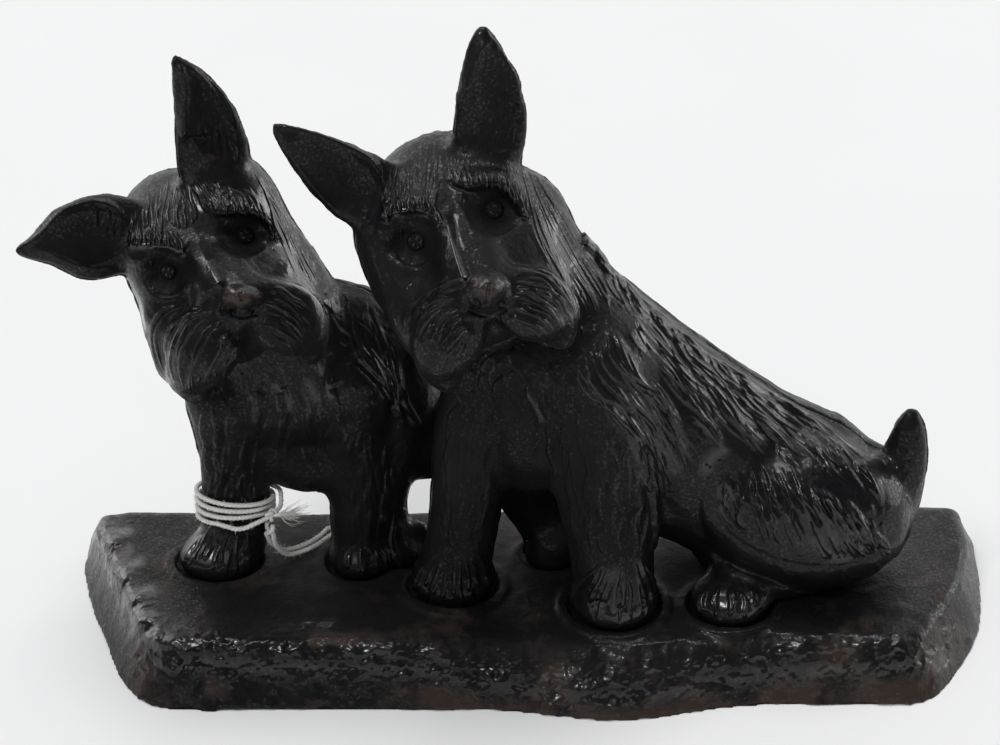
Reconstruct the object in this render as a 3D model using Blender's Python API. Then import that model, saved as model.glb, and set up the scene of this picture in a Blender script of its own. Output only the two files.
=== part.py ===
"""A cast-iron doorstop: a sitting and a standing terrier on a rocky base. Metres, +Z up.

Each dog is a hollow casting in two halves. They meet on an upright plane and are held by slotted
screws from behind. The feet stand in seats on a hollow base casting, with screws from beneath.
A cotton tag string is wound round the standing dog's foreleg.

Places and sizes below are in millimetres, seen from the front: X to the right, Y away, Z up.
"""

import math

import bmesh
import bpy
from mathutils import Euler, Matrix, Vector

MM = 0.001

# Driving dimensions
BASE_LENGTH = 222.0
BASE_FRONT = -38.2
BASE_REAR = 32.5
BASE_HEIGHT = 16.0
WALL = 4.0
BASE_DRAFT = 5.0
EDGE_ROUND = 4.5
SEAT_DEPTH = 1.2
SEAT_MARGIN = 1.6
LIP_RADIUS = 1.2
SCREW_DIAMETER = 4.0
SCREW_HEAD_DIAMETER = 7.5
SCREW_HEAD_HEIGHT = 2.8
SLOT_WIDTH = 1.1
SLOT_DEPTH = 1.2
BOSS_DIAMETER = 10.0
CLEARANCE = 0.3
CORD_DIAMETER = 1.25
WINDING_TURNS = 4
WINDING_PITCH = 1.68

# How finely the castings are modelled
VOXEL = 1.2
CORE_VOXEL = 1.5
CORE_TRIANGLES = 420
FRONT_TRIANGLES = {"sitting": 2900, "standing": 2400}
BACK_TRIANGLES = {"sitting": 800, "standing": 600}
KNOT_TRIANGLES = 260

# Cutters reach this far from the origin, past the object on every side
FAR = 200.0


def clear_scene():
    for obj in list(bpy.data.objects):
        bpy.data.objects.remove(obj, do_unlink=True)


def material(name, colour, roughness, metallic):
    made = bpy.data.materials.new(name)
    made.use_nodes = True
    shader = made.node_tree.nodes["Principled BSDF"]
    shader.inputs["Base Color"].default_value = (*colour, 1.0)
    shader.inputs["Roughness"].default_value = roughness
    shader.inputs["Metallic"].default_value = metallic
    return made


def add_object(name, mesh):
    obj = bpy.data.objects.new(name, mesh)
    bpy.context.scene.collection.objects.link(obj)
    return obj


def object_of(name, shape):
    """An object from a bmesh in millimetres."""
    bmesh.ops.recalc_face_normals(shape, faces=shape.faces)
    bmesh.ops.scale(shape, vec=(MM, MM, MM), verts=shape.verts)
    mesh = bpy.data.meshes.new(name)
    shape.to_mesh(mesh)
    shape.free()
    return add_object(name, mesh)


def settle(obj):
    """Replaces the object's mesh with its evaluated one and drops the modifiers."""
    graph = bpy.context.evaluated_depsgraph_get()
    mesh = bpy.data.meshes.new_from_object(obj.evaluated_get(graph))
    obj.modifiers.clear()
    obj.data = mesh
    return obj


def remesh(obj, voxel, smoothing):
    """Fuses overlapping closed shapes into one skin and rounds it."""
    fuse = obj.modifiers.new("fuse", "REMESH")
    fuse.mode = "VOXEL"
    fuse.voxel_size = voxel * MM
    if smoothing:
        relax = obj.modifiers.new("relax", "SMOOTH")
        relax.factor = 0.5
        relax.iterations = smoothing
    return settle(obj)


def decimate(obj, triangles):
    obj.data.calc_loop_triangles()
    count = len(obj.data.loop_triangles)
    if triangles < count:
        thin = obj.modifiers.new("thin", "DECIMATE")
        thin.use_collapse_triangulate = True
        thin.ratio = triangles / count
        settle(obj)
    return obj


def boolean(obj, other, operation):
    step = obj.modifiers.new(operation.lower(), "BOOLEAN")
    step.operation = operation
    step.object = other
    return settle(obj)


def discard(*objects):
    for obj in objects:
        bpy.data.objects.remove(obj, do_unlink=True)


def copy_of(obj, name):
    return add_object(name, obj.data.copy())


def joined(name, objects):
    """One object holding the meshes of all the others, which are discarded."""
    shape = bmesh.new()
    for obj in objects:
        shape.from_mesh(obj.data)
    mesh = bpy.data.meshes.new(name)
    shape.to_mesh(mesh)
    shape.free()
    discard(*objects)
    return add_object(name, mesh)


def between(rows, steps):
    """A smooth run of rows through the given ones, by Catmull-Rom."""
    rows = [Vector(row) for row in rows]
    run = []
    for i in range(len(rows) - 1):
        before = rows[max(i - 1, 0)]
        start, end = rows[i], rows[i + 1]
        after = rows[min(i + 2, len(rows) - 1)]
        for k in range(steps):
            t = k / steps
            run.append(
                0.5
                * (
                    2 * start
                    + (end - before) * t
                    + (2 * before - 5 * start + 4 * end - after) * t**2
                    + (3 * start - before - 3 * end + after) * t**3
                )
            )
    run.append(rows[-1])
    return run


class Clay:
    """Closed lumps in millimetres, gathered in one mesh until they are fused."""

    SIDES = 18

    def __init__(self, place=None):
        self.shape = bmesh.new()
        self.place = place or Matrix.Identity(4)

    def ball(self, centre, radii, turn=(0, 0, 0)):
        turned = Euler([math.radians(a) for a in turn]).to_matrix().to_4x4()
        matrix = self.place @ Matrix.Translation(centre) @ turned @ Matrix.Diagonal((*radii, 1))
        bmesh.ops.create_icosphere(self.shape, subdivisions=3, radius=1.0, matrix=matrix)

    def limb(self, stations, depth=(0, 1, 0), steps=4):
        """A round-ended limb through (x, y, z, half width, half depth), its depth along one axis."""
        run = between(stations, steps)
        depth = Vector(depth).normalized()
        points = [Vector(row[:3]) for row in run]
        rings = []
        last = len(run) - 1
        for i, row in enumerate(run):
            ahead = (points[min(i + 1, last)] - points[max(i - 1, 0)]).normalized()
            across = ahead.cross(depth).normalized()
            through = across.cross(ahead).normalized()
            ends = [(0.0, 1.0)]
            if i == 0:
                ends = [(-math.sin(a), math.cos(a)) for a in (1.3, 0.9, 0.45)] + ends
            if i == last:
                ends += [(math.sin(a), math.cos(a)) for a in (0.45, 0.9, 1.3)]
            for out, share in ends:
                centre = points[i] + ahead * out * min(row[3], row[4])
                rings.append(
                    [
                        self.place
                        @ (
                            centre
                            + across * row[3] * share * math.cos(2 * math.pi * k / self.SIDES)
                            + through * row[4] * share * math.sin(2 * math.pi * k / self.SIDES)
                        )
                        for k in range(self.SIDES)
                    ]
                )
        loft(self.shape, rings)

    def fused(self, name, voxel=VOXEL, smoothing=6):
        return remesh(object_of(name, self.shape), voxel, smoothing)


def loft(shape, rings):
    """A closed skin over rings of points that have the same count."""
    verts = [[shape.verts.new(point) for point in ring] for ring in rings]
    count = len(verts[0])
    for near, far in zip(verts, verts[1:]):
        for k in range(count):
            shape.faces.new((near[k], near[(k + 1) % count], far[(k + 1) % count], far[k]))
    shape.faces.new(verts[0][::-1])
    shape.faces.new(verts[-1])


def cylinder(shape, start, end, radius, sides=16):
    start, end = Vector(start), Vector(end)
    turn = (end - start).to_track_quat("Z", "Y").to_matrix().to_4x4()
    bmesh.ops.create_cone(
        shape,
        cap_ends=True,
        segments=sides,
        radius1=radius,
        radius2=radius,
        depth=(end - start).length,
        matrix=Matrix.Translation((start + end) / 2) @ turn,
    )


def box(name, low, high):
    shape = bmesh.new()
    low, high = Vector(low), Vector(high)
    size = Matrix.Diagonal((*(high - low), 1))
    bmesh.ops.create_cube(shape, size=1.0, matrix=Matrix.Translation((low + high) / 2) @ size)
    return object_of(name, shape)


# The heads: the point midway between the eyes and the yaw, pitch and roll in degrees. In the
# head's own frame, the skull's middle and radii, the cheeks' distances to the viewer's left and
# right, the nose's tip (y, z), the lowest points of the moustache and the ears' limbs.
HEADS = {
    "sitting": {
        "middle": (-17.1, -19.0, 117.7),
        "angles": (8.5, 11.1, 17.4),
        "skull": ((0.0, 15.5, -0.3), (18.5, 17.5, 17.0)),
        "cheeks": (16.4, 13.6),
        "nose": (-21.0, -10.4),
        "jowls": [(-13.0, -9.0, -33.0), (13.0, -9.0, -33.0)],
        "ears": [
            [
                (-11.5, 9.0, 7.0, 8.6, 4.2),
                (-16.5, 7.0, 13.3, 8.9, 3.2),
                (-22.0, 6.0, 21.8, 7.2, 2.5),
                (-26.6, 5.5, 29.2, 4.1, 2.1),
                (-29.2, 5.5, 33.8, 1.7, 1.6),
            ],
            [
                (12.0, 9.0, 9.0, 8.2, 4.2),
                (15.5, 7.0, 17.0, 8.8, 3.2),
                (17.9, 6.0, 26.0, 7.4, 2.5),
                (19.4, 5.5, 34.0, 4.4, 2.1),
                (21.0, 5.5, 38.2, 1.9, 1.5),
            ],
        ],
    },
    "standing": {
        "middle": (-72.6, -11.0, 106.0),
        "angles": (21.0, 15.0, 13.0),
        "skull": ((-0.6, 15.5, 0.8), (16.6, 17.5, 16.6)),
        "cheeks": (11.6, 10.2),
        "nose": (-20.5, -7.5),
        "jowls": [(-13.0, -4.0, -30.4), (13.5, -6.0, -31.5)],
        "ears": [
            [
                (9.0, 7.0, 12.0, 8.6, 4.2),
                (9.9, 4.0, 20.5, 9.0, 3.2),
                (10.3, 1.0, 30.0, 7.5, 2.5),
                (9.2, -1.0, 39.0, 4.6, 2.1),
                (7.7, -2.0, 44.6, 1.8, 1.7),
            ],
            [
                (-13.0, 7.0, 9.5, 8.5, 4.6),
                (-21.0, 5.0, 12.0, 10.4, 3.8),
                (-28.5, 3.0, 15.0, 8.3, 3.2),
                (-34.6, 2.0, 15.8, 4.0, 2.5),
                (-39.0, 2.0, 16.8, 1.8, 1.8),
            ],
        ],
    },
}


def head_place(head):
    """The head's frame: x to the viewer's right, y into the head, z up, from midway between the eyes."""
    yaw, pitch, roll = (math.radians(a) for a in head["angles"])
    return (
        Matrix.Translation(head["middle"])
        @ Matrix.Rotation(yaw, 4, "Z")
        @ Matrix.Rotation(-pitch, 4, "X")
        @ Matrix.Rotation(-roll, 4, "Y")
    )


def dog_head(name):
    """Skull, cheeks, brows, muzzle, nose, the two halves of the moustache and the ears."""
    head = HEADS[name]
    clay = Clay(head_place(head))
    clay.ball(*head["skull"])
    tip_y, tip_z = head["nose"]
    clay.limb(
        [
            (0, 2, -3, 8.5, 8.0),
            (0, tip_y * 0.45, tip_z * 0.75, 7.4, 7.0),
            (0, tip_y + 7, tip_z - 1.5, 6.4, 5.8),
        ],
        depth=(0, 0, 1),
    )
    clay.ball((0, tip_y + 3.0, tip_z + 0.8), (4.6, 3.6, 3.6))
    clay.ball((0, 0, tip_z - 8), (13, 10, 11))
    for side, cheek, (x, y, z) in zip((-1, 1), head["cheeks"], head["jowls"]):
        clay.ball((side * 9.2, 0.2, 6.2), (8.0, 4.2, 3.2), (0, side * 12, 0))
        clay.ball((side * 9.5, 1.5, -11), (9.5, 8.5, 9.5))
        clay.limb(
            [
                (side * cheek, 9, 0, 6.0, 10.0),
                (side * (cheek - 0.6), 7, -9, 6.4, 11.0),
                (x + side * 1.0, y + 7, z * 0.62, 6.4, 8.0),
                (x + side * 0.4, y + 4, z + 6, 4.6, 5.0),
            ]
        )
        clay.limb(
            [
                (side * 4.5, tip_y + 8.5, tip_z - 2.5, 5.5, 5.0),
                (x * 0.72, (tip_y + 6) * 0.6 + y * 0.4, z * 0.45 + tip_z * 0.42, 8.2, 7.0),
                (x, y, z + 7.5, 6.6, 6.0),
                (x * 1.03, y + 1, z + 2.5, 3.6, 3.4),
            ]
        )
    for ear in head["ears"]:
        clay.limb(ear, steps=5)
    return clay.fused(name + "_head", smoothing=3)


# Each dog's trunk, as limbs of (x, y, z, half width, half depth), which its core follows
TRUNKS = {
    "sitting": [
        [
            (-5.4, -5, 109.8, 14.6, 14),
            (0.6, -5, 98, 13.8, 15),
            (10, -4, 80, 19, 19),
            (29, -2, 57, 23, 20),
            (50, 1, 41.5, 22.2, 19.5),
            (69, 2, 35, 19.5, 17.5),
            (78, 2, 33, 15, 13.5),
        ],
        [(0, -11, 82, 14, 14), (2, -11, 62, 15, 13)],
        [(52, 2, 28, 18, 15), (74, 3, 28, 13, 13)],
    ],
    "standing": [
        [
            (-69, 2, 112, 12, 12),
            (-64, 4, 98, 13, 12),
            (-58, 4, 84, 14, 13),
            (-57, 3, 64, 19, 13),
        ],
        [
            (-60, 4, 66, 19, 13),
            (-47, 8, 67, 21.5, 13),
            (-35, 11, 63, 17.5, 11.5),
        ],
    ],
}
PARTING = {"sitting": 2.0, "standing": 9.5}
CORE_FLOOR = BASE_HEIGHT + 6.0

# Feet on the base: x, y, half width, half depth and height
FEET = {
    "sitting": {
        "right_forepaw": (-18.3, -9.2, 10.2, 10.0, 9.0),
        "left_forepaw": (20.0, -18.3, 10.4, 10.8, 10.0),
        "left_hind_paw": (47.2, -18.2, 9.4, 9.0, 9.0),
        "right_hind_paw": (5.0, 3.0, 6.4, 6.0, 7.0),
    },
    "standing": {
        "right_forepaw": (-74.6, 0.4, 9.8, 8.2, 8.5),
        "left_forepaw": (-41.0, 0.4, 7.2, 8.0, 8.5),
        "left_hind_paw": (-31.6, 3.0, 6.0, 5.2, 7.0),
        "right_hind_paw": (-40.0, 16.5, 5.6, 5.4, 7.0),
    },
}
RUMP_SEAT = (63.0, 3.0, 21.0, 11.0)
SEAT_LEVEL = BASE_HEIGHT - SEAT_DEPTH
LIP_HEIGHT = 0.8
BODY_FLOOR = BASE_HEIGHT + LIP_HEIGHT + CLEARANCE

# The foreleg that the string is wound round: x, y, half width, half depth
STRING_LEG = (-70.2, 2.0, 7.9, 6.2)


def foot_balls(clay, name):
    for x, y, half_width, half_depth, height in FEET[name].values():
        level = SEAT_LEVEL + 0.35 * height
        clay.ball((x, y, level), (half_width + 0.4, half_depth + 0.4, 0.7 * height))


def sitting_body():
    clay = Clay()
    for stations in TRUNKS["sitting"]:
        clay.limb(stations)
    clay.limb(
        [
            (-7, -10, 78, 11, 11),
            (-12, -9.5, 60, 10.5, 10),
            (-14.4, -9, 44, 8.8, 9.5),
            (-16.2, -9, 30, 8.3, 8.8),
            (-18, -9, 21, 8.6, 8.8),
        ]
    )
    clay.limb(
        [
            (14, -12, 80, 15, 15),
            (17, -15, 62, 13.5, 13),
            (18, -17, 46, 12.0, 11),
            (19, -18, 32, 10.0, 9.8),
            (20, -18, 22, 9.4, 9.6),
        ]
    )
    clay.limb([(1, -15, 74, 10, 10), (1, -13, 56, 8, 8), (1, -8, 46, 5, 5)])
    clay.ball((64.5, -10, 37), (25.5, 14.5, 19.5), (0, 12, 0))
    clay.ball((63, -9, 25), (22, 10, 8), (0, 4, 0))
    clay.ball((60, 10, 34), (22, 11, 17), (0, 12, 0))
    clay.limb([(66, -6, 24, 12, 11), (51, -13, 20, 8, 6), (47, -17, 19.5, 7, 5)], (0, 0, 1))
    clay.limb(
        [
            (81, -3, 27, 9.5, 8),
            (85.6, -4, 39, 7.4, 6),
            (88.0, -4, 49, 5.8, 4.6),
            (88.6, -4, 57, 4.1, 3.2),
            (88.6, -4, 61.3, 2.2, 1.8),
        ]
    )
    clay.limb([(36, 6, 38, 11, 9), (20, 5, 27, 9, 7), (5, 3, 20, 6.5, 6)])
    clay.limb([(6, 6, 24, 8, 6), (1, 4, 36, 10, 7), (2, -2, 50, 11, 9)])
    foot_balls(clay, "sitting")
    return clay.fused("sitting_body", smoothing=8)


def standing_body():
    clay = Clay()
    for stations in TRUNKS["standing"]:
        clay.limb(stations)
    x, y, half_width, half_depth = STRING_LEG
    clay.limb(
        [
            (-68.6, 1, 62, 13, 10),
            (-69.6, 1.5, 50, 9.4, 7.5),
            (x, y, 42, half_width + 0.3, half_depth + 0.3),
            (x, y, 26, half_width + 0.3, half_depth + 0.3),
            (x - 2, y, 20, 8.8, 7.2),
        ]
    )
    clay.limb(
        [
            (-43, 1, 66, 11, 11),
            (-41.5, 2, 50, 8.2, 7.8),
            (-41, 2, 36, 7, 6.6),
            (-41, 2, 22, 6.6, 6.8),
        ]
    )
    clay.limb([(-60.5, 3, 47.5, 8, 8), (-53, 4, 43, 8, 8.5), (-44, 4, 45.5, 8, 8)], (0, 1, 0))
    clay.limb(
        [(-31, 8, 60, 9.5, 9), (-33, 6, 44, 7, 6), (-34, 5, 30, 4.8, 4.8), (-33.5, 4, 20, 5, 4.6)]
    )
    clay.limb(
        [(-38, 14, 56, 8, 7), (-39.5, 16, 40, 6, 5.5), (-40, 17, 28, 4.8, 4.8), (-40, 16.5, 20, 5, 5)]
    )
    clay.limb([(-34, 10, 45, 10, 6.5), (-27, 10, 46.5, 12.5, 6.5), (-21, 10, 46.5, 12, 5.5)])
    clay.limb([(-31, 5.5, 21, 4, 2.6), (-25.5, 6, 21, 3.8, 2.4)])
    foot_balls(clay, "standing")
    return clay.fused("standing_body", smoothing=8)


def cored(name):
    """The hollow inside a dog: its trunk drawn in by the wall, clear of the floor."""
    clay = Clay()
    for stations in TRUNKS[name]:
        clay.limb([(x, y, z, w - WALL, d - WALL) for x, y, z, w, d in stations])
    hollow = clay.fused(name + "_hollow", voxel=CORE_VOXEL, smoothing=4)
    decimate(hollow, CORE_TRIANGLES)
    above = box("above", (-FAR, -FAR, CORE_FLOOR), (FAR, FAR, FAR))
    boolean(hollow, above, "INTERSECT")
    discard(above)
    return hollow


# Screws that join the halves, from behind: x, z, y of the head's seat, y of the tip
JOINING_SCREWS = {
    "sitting": {"upper": (8.0, 84.0, 9.0, -12.0), "lower": (50.0, 42.0, 12.0, -10.0)},
    "standing": {"upper": (-59.0, 84.0, 13.0, -2.0), "lower": (-42.0, 62.0, 15.5, 1.0)},
}

# Screws from beneath the base, by the foot or the rump that each one holds: x, y
FOOT_SCREWS = {
    "sitting": {
        "right_forepaw": (-17.5, -9.0),
        "left_forepaw": (19.8, -18.0),
        "rump": (68.0, 3.0),
    },
    "standing": {"right_forepaw": (-72.5, 1.6), "left_forepaw": (-41.0, 1.6)},
}
FOOT_SCREW_SEAT = 5.0
FOOT_SCREW_TIP = 25.0


def tool(name, *cylinders):
    """One cutter made of upright or lying cylinders of (start, end, radius)."""
    made = None
    for start, end, radius in cylinders:
        shape = bmesh.new()
        cylinder(shape, start, end, radius)
        more = object_of(name, shape)
        if made is None:
            made = more
        else:
            boolean(made, more, "UNION")
            discard(more)
    return made


def ellipse(x, y, half_width, half_depth, level, sides=22):
    turn = 2 * math.pi / sides
    return [
        (x + half_width * math.cos(k * turn), y + half_depth * math.sin(k * turn), level)
        for k in range(sides)
    ]


def oval_post(name, foot, low, high, margin=0.0, spread=0.0):
    """An upright post over a foot's outline, wider by a margin, and wider still at its bottom."""
    x, y, half_width, half_depth = foot[:4]
    shape = bmesh.new()
    loft(
        shape,
        [
            ellipse(x, y, half_width + margin + spread, half_depth + margin + spread, low),
            ellipse(x, y, half_width + margin, half_depth + margin, high),
        ],
    )
    return object_of(name, shape)


def seats(name):
    found = dict(FEET[name])
    if name == "sitting":
        found["rump"] = RUMP_SEAT
    return found


def floor_cutter(name):
    """What is cut away beneath a dog so that it stands in its seats and clears the lips round them."""
    cutter = box("floor", (-FAR, -FAR, -FAR), (FAR, FAR, BODY_FLOOR))
    for foot in seats(name).values():
        kept = oval_post("kept", foot, SEAT_LEVEL + CLEARANCE, BODY_FLOOR + 2)
        boolean(cutter, kept, "DIFFERENCE")
        discard(kept)
    return cutter


def cut(obj, *cutters):
    for cutter in cutters:
        boolean(obj, cutter, "DIFFERENCE")


def dog_halves(name, body, head, iron):
    """The front and back castings of one dog, hollow, with bosses left for the joining screws."""
    whole = remesh(joined(name + "_dog", [body, head]), VOXEL, 2)
    parting = PARTING[name]
    hollow = cored(name)
    for x, z, seat, tip in JOINING_SCREWS[name].values():
        boss = tool("boss", ((x, FAR, z), (x, -FAR, z), BOSS_DIAMETER / 2))
        cut(hollow, boss)
        discard(boss)
    if name == "sitting":
        x, y = FOOT_SCREWS[name]["rump"]
        boss = tool("boss", ((x, y, 0), (x, y, FOOT_SCREW_TIP + WALL), BOSS_DIAMETER / 2))
        cut(hollow, boss)
        discard(boss)
    floor = floor_cutter(name)
    holes = [
        tool(
            "joining_hole",
            ((x, tip - 1, z), (x, seat + 1, z), SCREW_DIAMETER / 2 + CLEARANCE),
            ((x, seat, z), (x, FAR, z), SCREW_HEAD_DIAMETER / 2 + CLEARANCE),
        )
        for x, z, seat, tip in JOINING_SCREWS[name].values()
    ]
    holes += [
        tool("foot_hole", ((x, y, 0), (x, y, FOOT_SCREW_TIP + 1), SCREW_DIAMETER / 2 + CLEARANCE))
        for x, y in FOOT_SCREWS[name].values()
    ]
    halves = []
    for side, triangles in (("front", FRONT_TRIANGLES[name]), ("back", BACK_TRIANGLES[name])):
        half = copy_of(whole, f"{name}_dog_{side}")
        if side == "front":
            kept = box("kept", (-FAR, -FAR, 0), (FAR, parting - CLEARANCE / 2, FAR))
        else:
            kept = box("kept", (-FAR, parting + CLEARANCE / 2, 0), (FAR, FAR, FAR))
        decimate(half, triangles * 2)
        boolean(half, kept, "INTERSECT")
        decimate(half, triangles)
        cut(half, floor, hollow, *holes)
        discard(kept)
        half.data.materials.clear()
        half.data.materials.append(iron)
        shade(half)
        halves.append(half)
    discard(whole, hollow, floor, *holes)
    return halves


def shade(obj, angle=35):
    obj.data.shade_smooth()
    obj.data.set_sharp_from_angle(angle=math.radians(angle))


def base_outline():
    """The base's edge on the floor, seen from above, with its bulge under the sitting dog's paw."""
    half, front, rear = BASE_LENGTH / 2, BASE_FRONT, BASE_REAR
    ends = [
        (-half + 0.6, rear - 7),
        (-half + 0.8, rear - 14),
        (-half + 4.5, front + 41),
        (-half + 9, front + 28),
        (-half + 13.5, front + 14),
        (-half + 19, front + 4.5),
        (-half + 27, front),
        (-half + 46, front - 0.3),
        (-30, front),
        (-8, front - 0.3),
        (6, front - 2.6),
        (18.5, front - 4.3),
        (30, front - 3.2),
        (42, front),
        (56, front + 2),
        (72, front + 2.3),
        (half - 23, front + 2),
        (half - 15, front + 5.8),
        (half - 8, front + 18),
        (half - 2, front + 32.5),
        (half + 0.6, front + 50),
        (half + 0.6, rear - 5),
        (half - 5, rear + 1.2),
        (60, rear + 0.6),
        (0, rear - 1),
        (-60, rear - 3),
        (-half + 6, rear - 1.6),
    ]
    return [Vector(point) for point in ends]


def inset(outline, distance):
    """The outline drawn in by a distance on all sides, towards the middle of the base."""
    middle = (BASE_FRONT + BASE_REAR) / 2
    along = 1 - distance / (BASE_LENGTH / 2)
    through = 1 - distance / ((BASE_REAR - BASE_FRONT) / 2)
    return [Vector((p.x * along, middle + (p.y - middle) * through)) for p in outline]


def rounded(outline, steps):
    """A closed smooth outline through the given points."""
    wrapped = [outline[-1], *outline, outline[0], outline[1]]
    run = between([(p.x, p.y, 0) for p in wrapped], steps)
    return [p.to_2d() for p in run[steps : steps * (len(outline) + 1)]]


def base_shell(name, outline, profile):
    """A closed skin over the outline, by (height, inset), closed at the top by a flat face."""
    shape = bmesh.new()
    rings = [[(p.x, p.y, level) for p in inset(outline, drawn)] for level, drawn in profile]
    loft(shape, rings)
    return object_of(name, shape)


def base_casting(iron):
    outline = rounded(base_outline(), 2)
    shoulder = BASE_HEIGHT - EDGE_ROUND
    edge = [
        (
            shoulder + EDGE_ROUND * math.sin(math.radians(a)),
            BASE_DRAFT + EDGE_ROUND * (1 - math.cos(math.radians(a))),
        )
        for a in (0, 30, 60, 90)
    ]
    base = base_shell("base_casting", outline, [(0, 0), *edge])
    hollow = base_shell(
        "base_hollow",
        outline,
        [
            (-1, WALL),
            (shoulder - WALL * 0.5, BASE_DRAFT + WALL),
            (BASE_HEIGHT - WALL, BASE_DRAFT + WALL + EDGE_ROUND),
        ],
    )
    screw_places = [place for name in FEET for place in FOOT_SCREWS[name].values()]
    for x, y in screw_places:
        boss = tool("boss", ((x, y, FOOT_SCREW_SEAT), (x, y, FAR), BOSS_DIAMETER / 2))
        cut(hollow, boss)
        discard(boss)
    for foot in [foot for name in FEET for foot in FEET[name].values()]:
        low, high = BASE_HEIGHT - 1, BASE_HEIGHT + LIP_HEIGHT
        lip = oval_post("lip", foot, low, high, SEAT_MARGIN + LIP_RADIUS, spread=1.0)
        boolean(base, lip, "UNION")
        discard(lip)
    for foot in [foot for name in FEET for foot in seats(name).values()]:
        seat = oval_post("seat", foot, SEAT_LEVEL, FAR, SEAT_MARGIN)
        cut(base, seat)
        discard(seat)
    cut(base, hollow)
    for x, y in screw_places:
        hole = tool("hole", ((x, y, -FAR), (x, y, FAR), SCREW_DIAMETER / 2 + CLEARANCE))
        cut(base, hole)
        discard(hole)
    discard(hollow)
    base.data.materials.clear()
    base.data.materials.append(iron)
    shade(base, 30)
    return base


def slotted_screw(name, seat, tip, steel):
    """A round-headed slotted screw whose head bears at the seat and whose tip points along its axis."""
    seat, tip = Vector(seat), Vector(tip)
    length = (tip - seat).length
    head, shank = SCREW_HEAD_DIAMETER / 2, SCREW_DIAMETER / 2
    profile = [
        (-SCREW_HEAD_HEIGHT, head * 0.55),
        (-SCREW_HEAD_HEIGHT * 0.8, head * 0.85),
        (-SCREW_HEAD_HEIGHT * 0.4, head),
        (-CLEARANCE, head),
        (-CLEARANCE, shank),
        (length - 1, shank),
        (length, shank * 0.6),
    ]
    shape = bmesh.new()
    loft(shape, [ellipse(0, 0, radius, radius, level, 12) for level, radius in profile])
    screw = object_of(name, shape)
    slot = box(
        "slot",
        (-head - 1, -SLOT_WIDTH / 2, -SCREW_HEAD_HEIGHT - 1),
        (head + 1, SLOT_WIDTH / 2, -SCREW_HEAD_HEIGHT + SLOT_DEPTH),
    )
    cut(screw, slot)
    discard(slot)
    screw.data.materials.clear()
    screw.data.materials.append(steel)
    screw.location = seat * MM
    screw.rotation_euler = (tip - seat).to_track_quat("Z", "Y").to_euler()
    shade(screw)
    return screw


def screws(steel):
    made = []
    for name in FEET:
        for where, (x, z, seat, tip) in JOINING_SCREWS[name].items():
            made.append(slotted_screw(f"{name}_dog_{where}_screw", (x, seat, z), (x, tip, z), steel))
        for foot, (x, y) in FOOT_SCREWS[name].items():
            seat, tip = (x, y, FOOT_SCREW_SEAT), (x, y, FOOT_SCREW_TIP)
            made.append(slotted_screw(f"{name}_{foot}_screw", seat, tip, steel))
    return made


# The string: its winding's lowest turn, the knot outside it, the loop's route and the short end's
WINDING_FOOT = 29.4
KNOT_ANGLE = -40.0
KNOT_LEVEL = 32.6
KNOT_RADIUS = 1.7
LOOP_SPACING = 1.7
LOOP_ROUTE = [
    (-61.5, -5.0, 30.4),
    (-61.7, -4.4, 27.6),
    (-61.4, -2.8, 24.2),
    (-60.3, -0.4, 20.6),
    (-58.6, 1.6, 18.2),
    (-56.4, 3.4, 17.4),
    (-53.4, 5.6, 17.3),
    (-50.8, 8.0, 17.6),
    (-48.8, 10.2, 18.1),
]
END_ROUTE = [(-59.4, -4.8, 32.9), (-57.4, -4.6, 33.1), (-55.6, -4.2, 32.9), (-54.0, -3.6, 32.3)]


def string_tube(name, points, cotton):
    """A round cord of the string's diameter through points in millimetres."""
    curve = bpy.data.curves.new(name, "CURVE")
    curve.dimensions = "3D"
    curve.bevel_depth = CORD_DIAMETER / 2 * MM
    curve.bevel_resolution = 1
    curve.use_fill_caps = True
    spline = curve.splines.new("POLY")
    spline.points.add(len(points) - 1)
    for point, place in zip(spline.points, points):
        point.co = (*(Vector(place) * MM), 1.0)
    curve.materials.append(cotton)
    return add_object(name, curve)


def round_leg(turned, out, level):
    """A point on the winding's track, by degrees turned from the knot, distance out and height."""
    x, y, half_width, half_depth = STRING_LEG
    reach = 2 * CLEARANCE + CORD_DIAMETER / 2 + out
    angle = math.radians(KNOT_ANGLE - turned)
    across, through = (half_width + reach) * math.cos(angle), (half_depth + reach) * math.sin(angle)
    return Vector((x + across, y + through, level))


def knot_centre():
    return round_leg(0, CORD_DIAMETER / 2 + CLEARANCE + KNOT_RADIUS, KNOT_LEVEL)


def winding_points():
    """Turns round the foreleg, climbing one pitch each, with both ends led out to the knot."""
    top = WINDING_FOOT + WINDING_PITCH * WINDING_TURNS
    whole = 360 * WINDING_TURNS
    out = CORD_DIAMETER / 2 + CLEARANCE + KNOT_RADIUS
    lead = [
        (16, out, KNOT_LEVEL - 0.6),
        (24, out - 0.2, KNOT_LEVEL - 1.2),
        (34, out - 0.7, WINDING_FOOT + 0.8),
        (46, out - 1.2, WINDING_FOOT + 0.2),
        (58, out - 2.1, WINDING_FOOT + 0.1),
    ]
    tail = [
        (whole - 58, out - 2.1, top - 0.1),
        (whole - 46, out - 1.2, top - 0.2),
        (whole - 34, out - 0.7, top - 0.8),
        (whole - 24, out - 0.2, KNOT_LEVEL + 1.2),
        (whole - 16, out, KNOT_LEVEL + 0.6),
    ]
    turns = [
        (turned, 0.0, WINDING_FOOT + WINDING_PITCH * turned / 360)
        for turned in range(75, whole - 74, 15)
    ]
    return [round_leg(*row) for row in lead + turns + tail]


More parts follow.
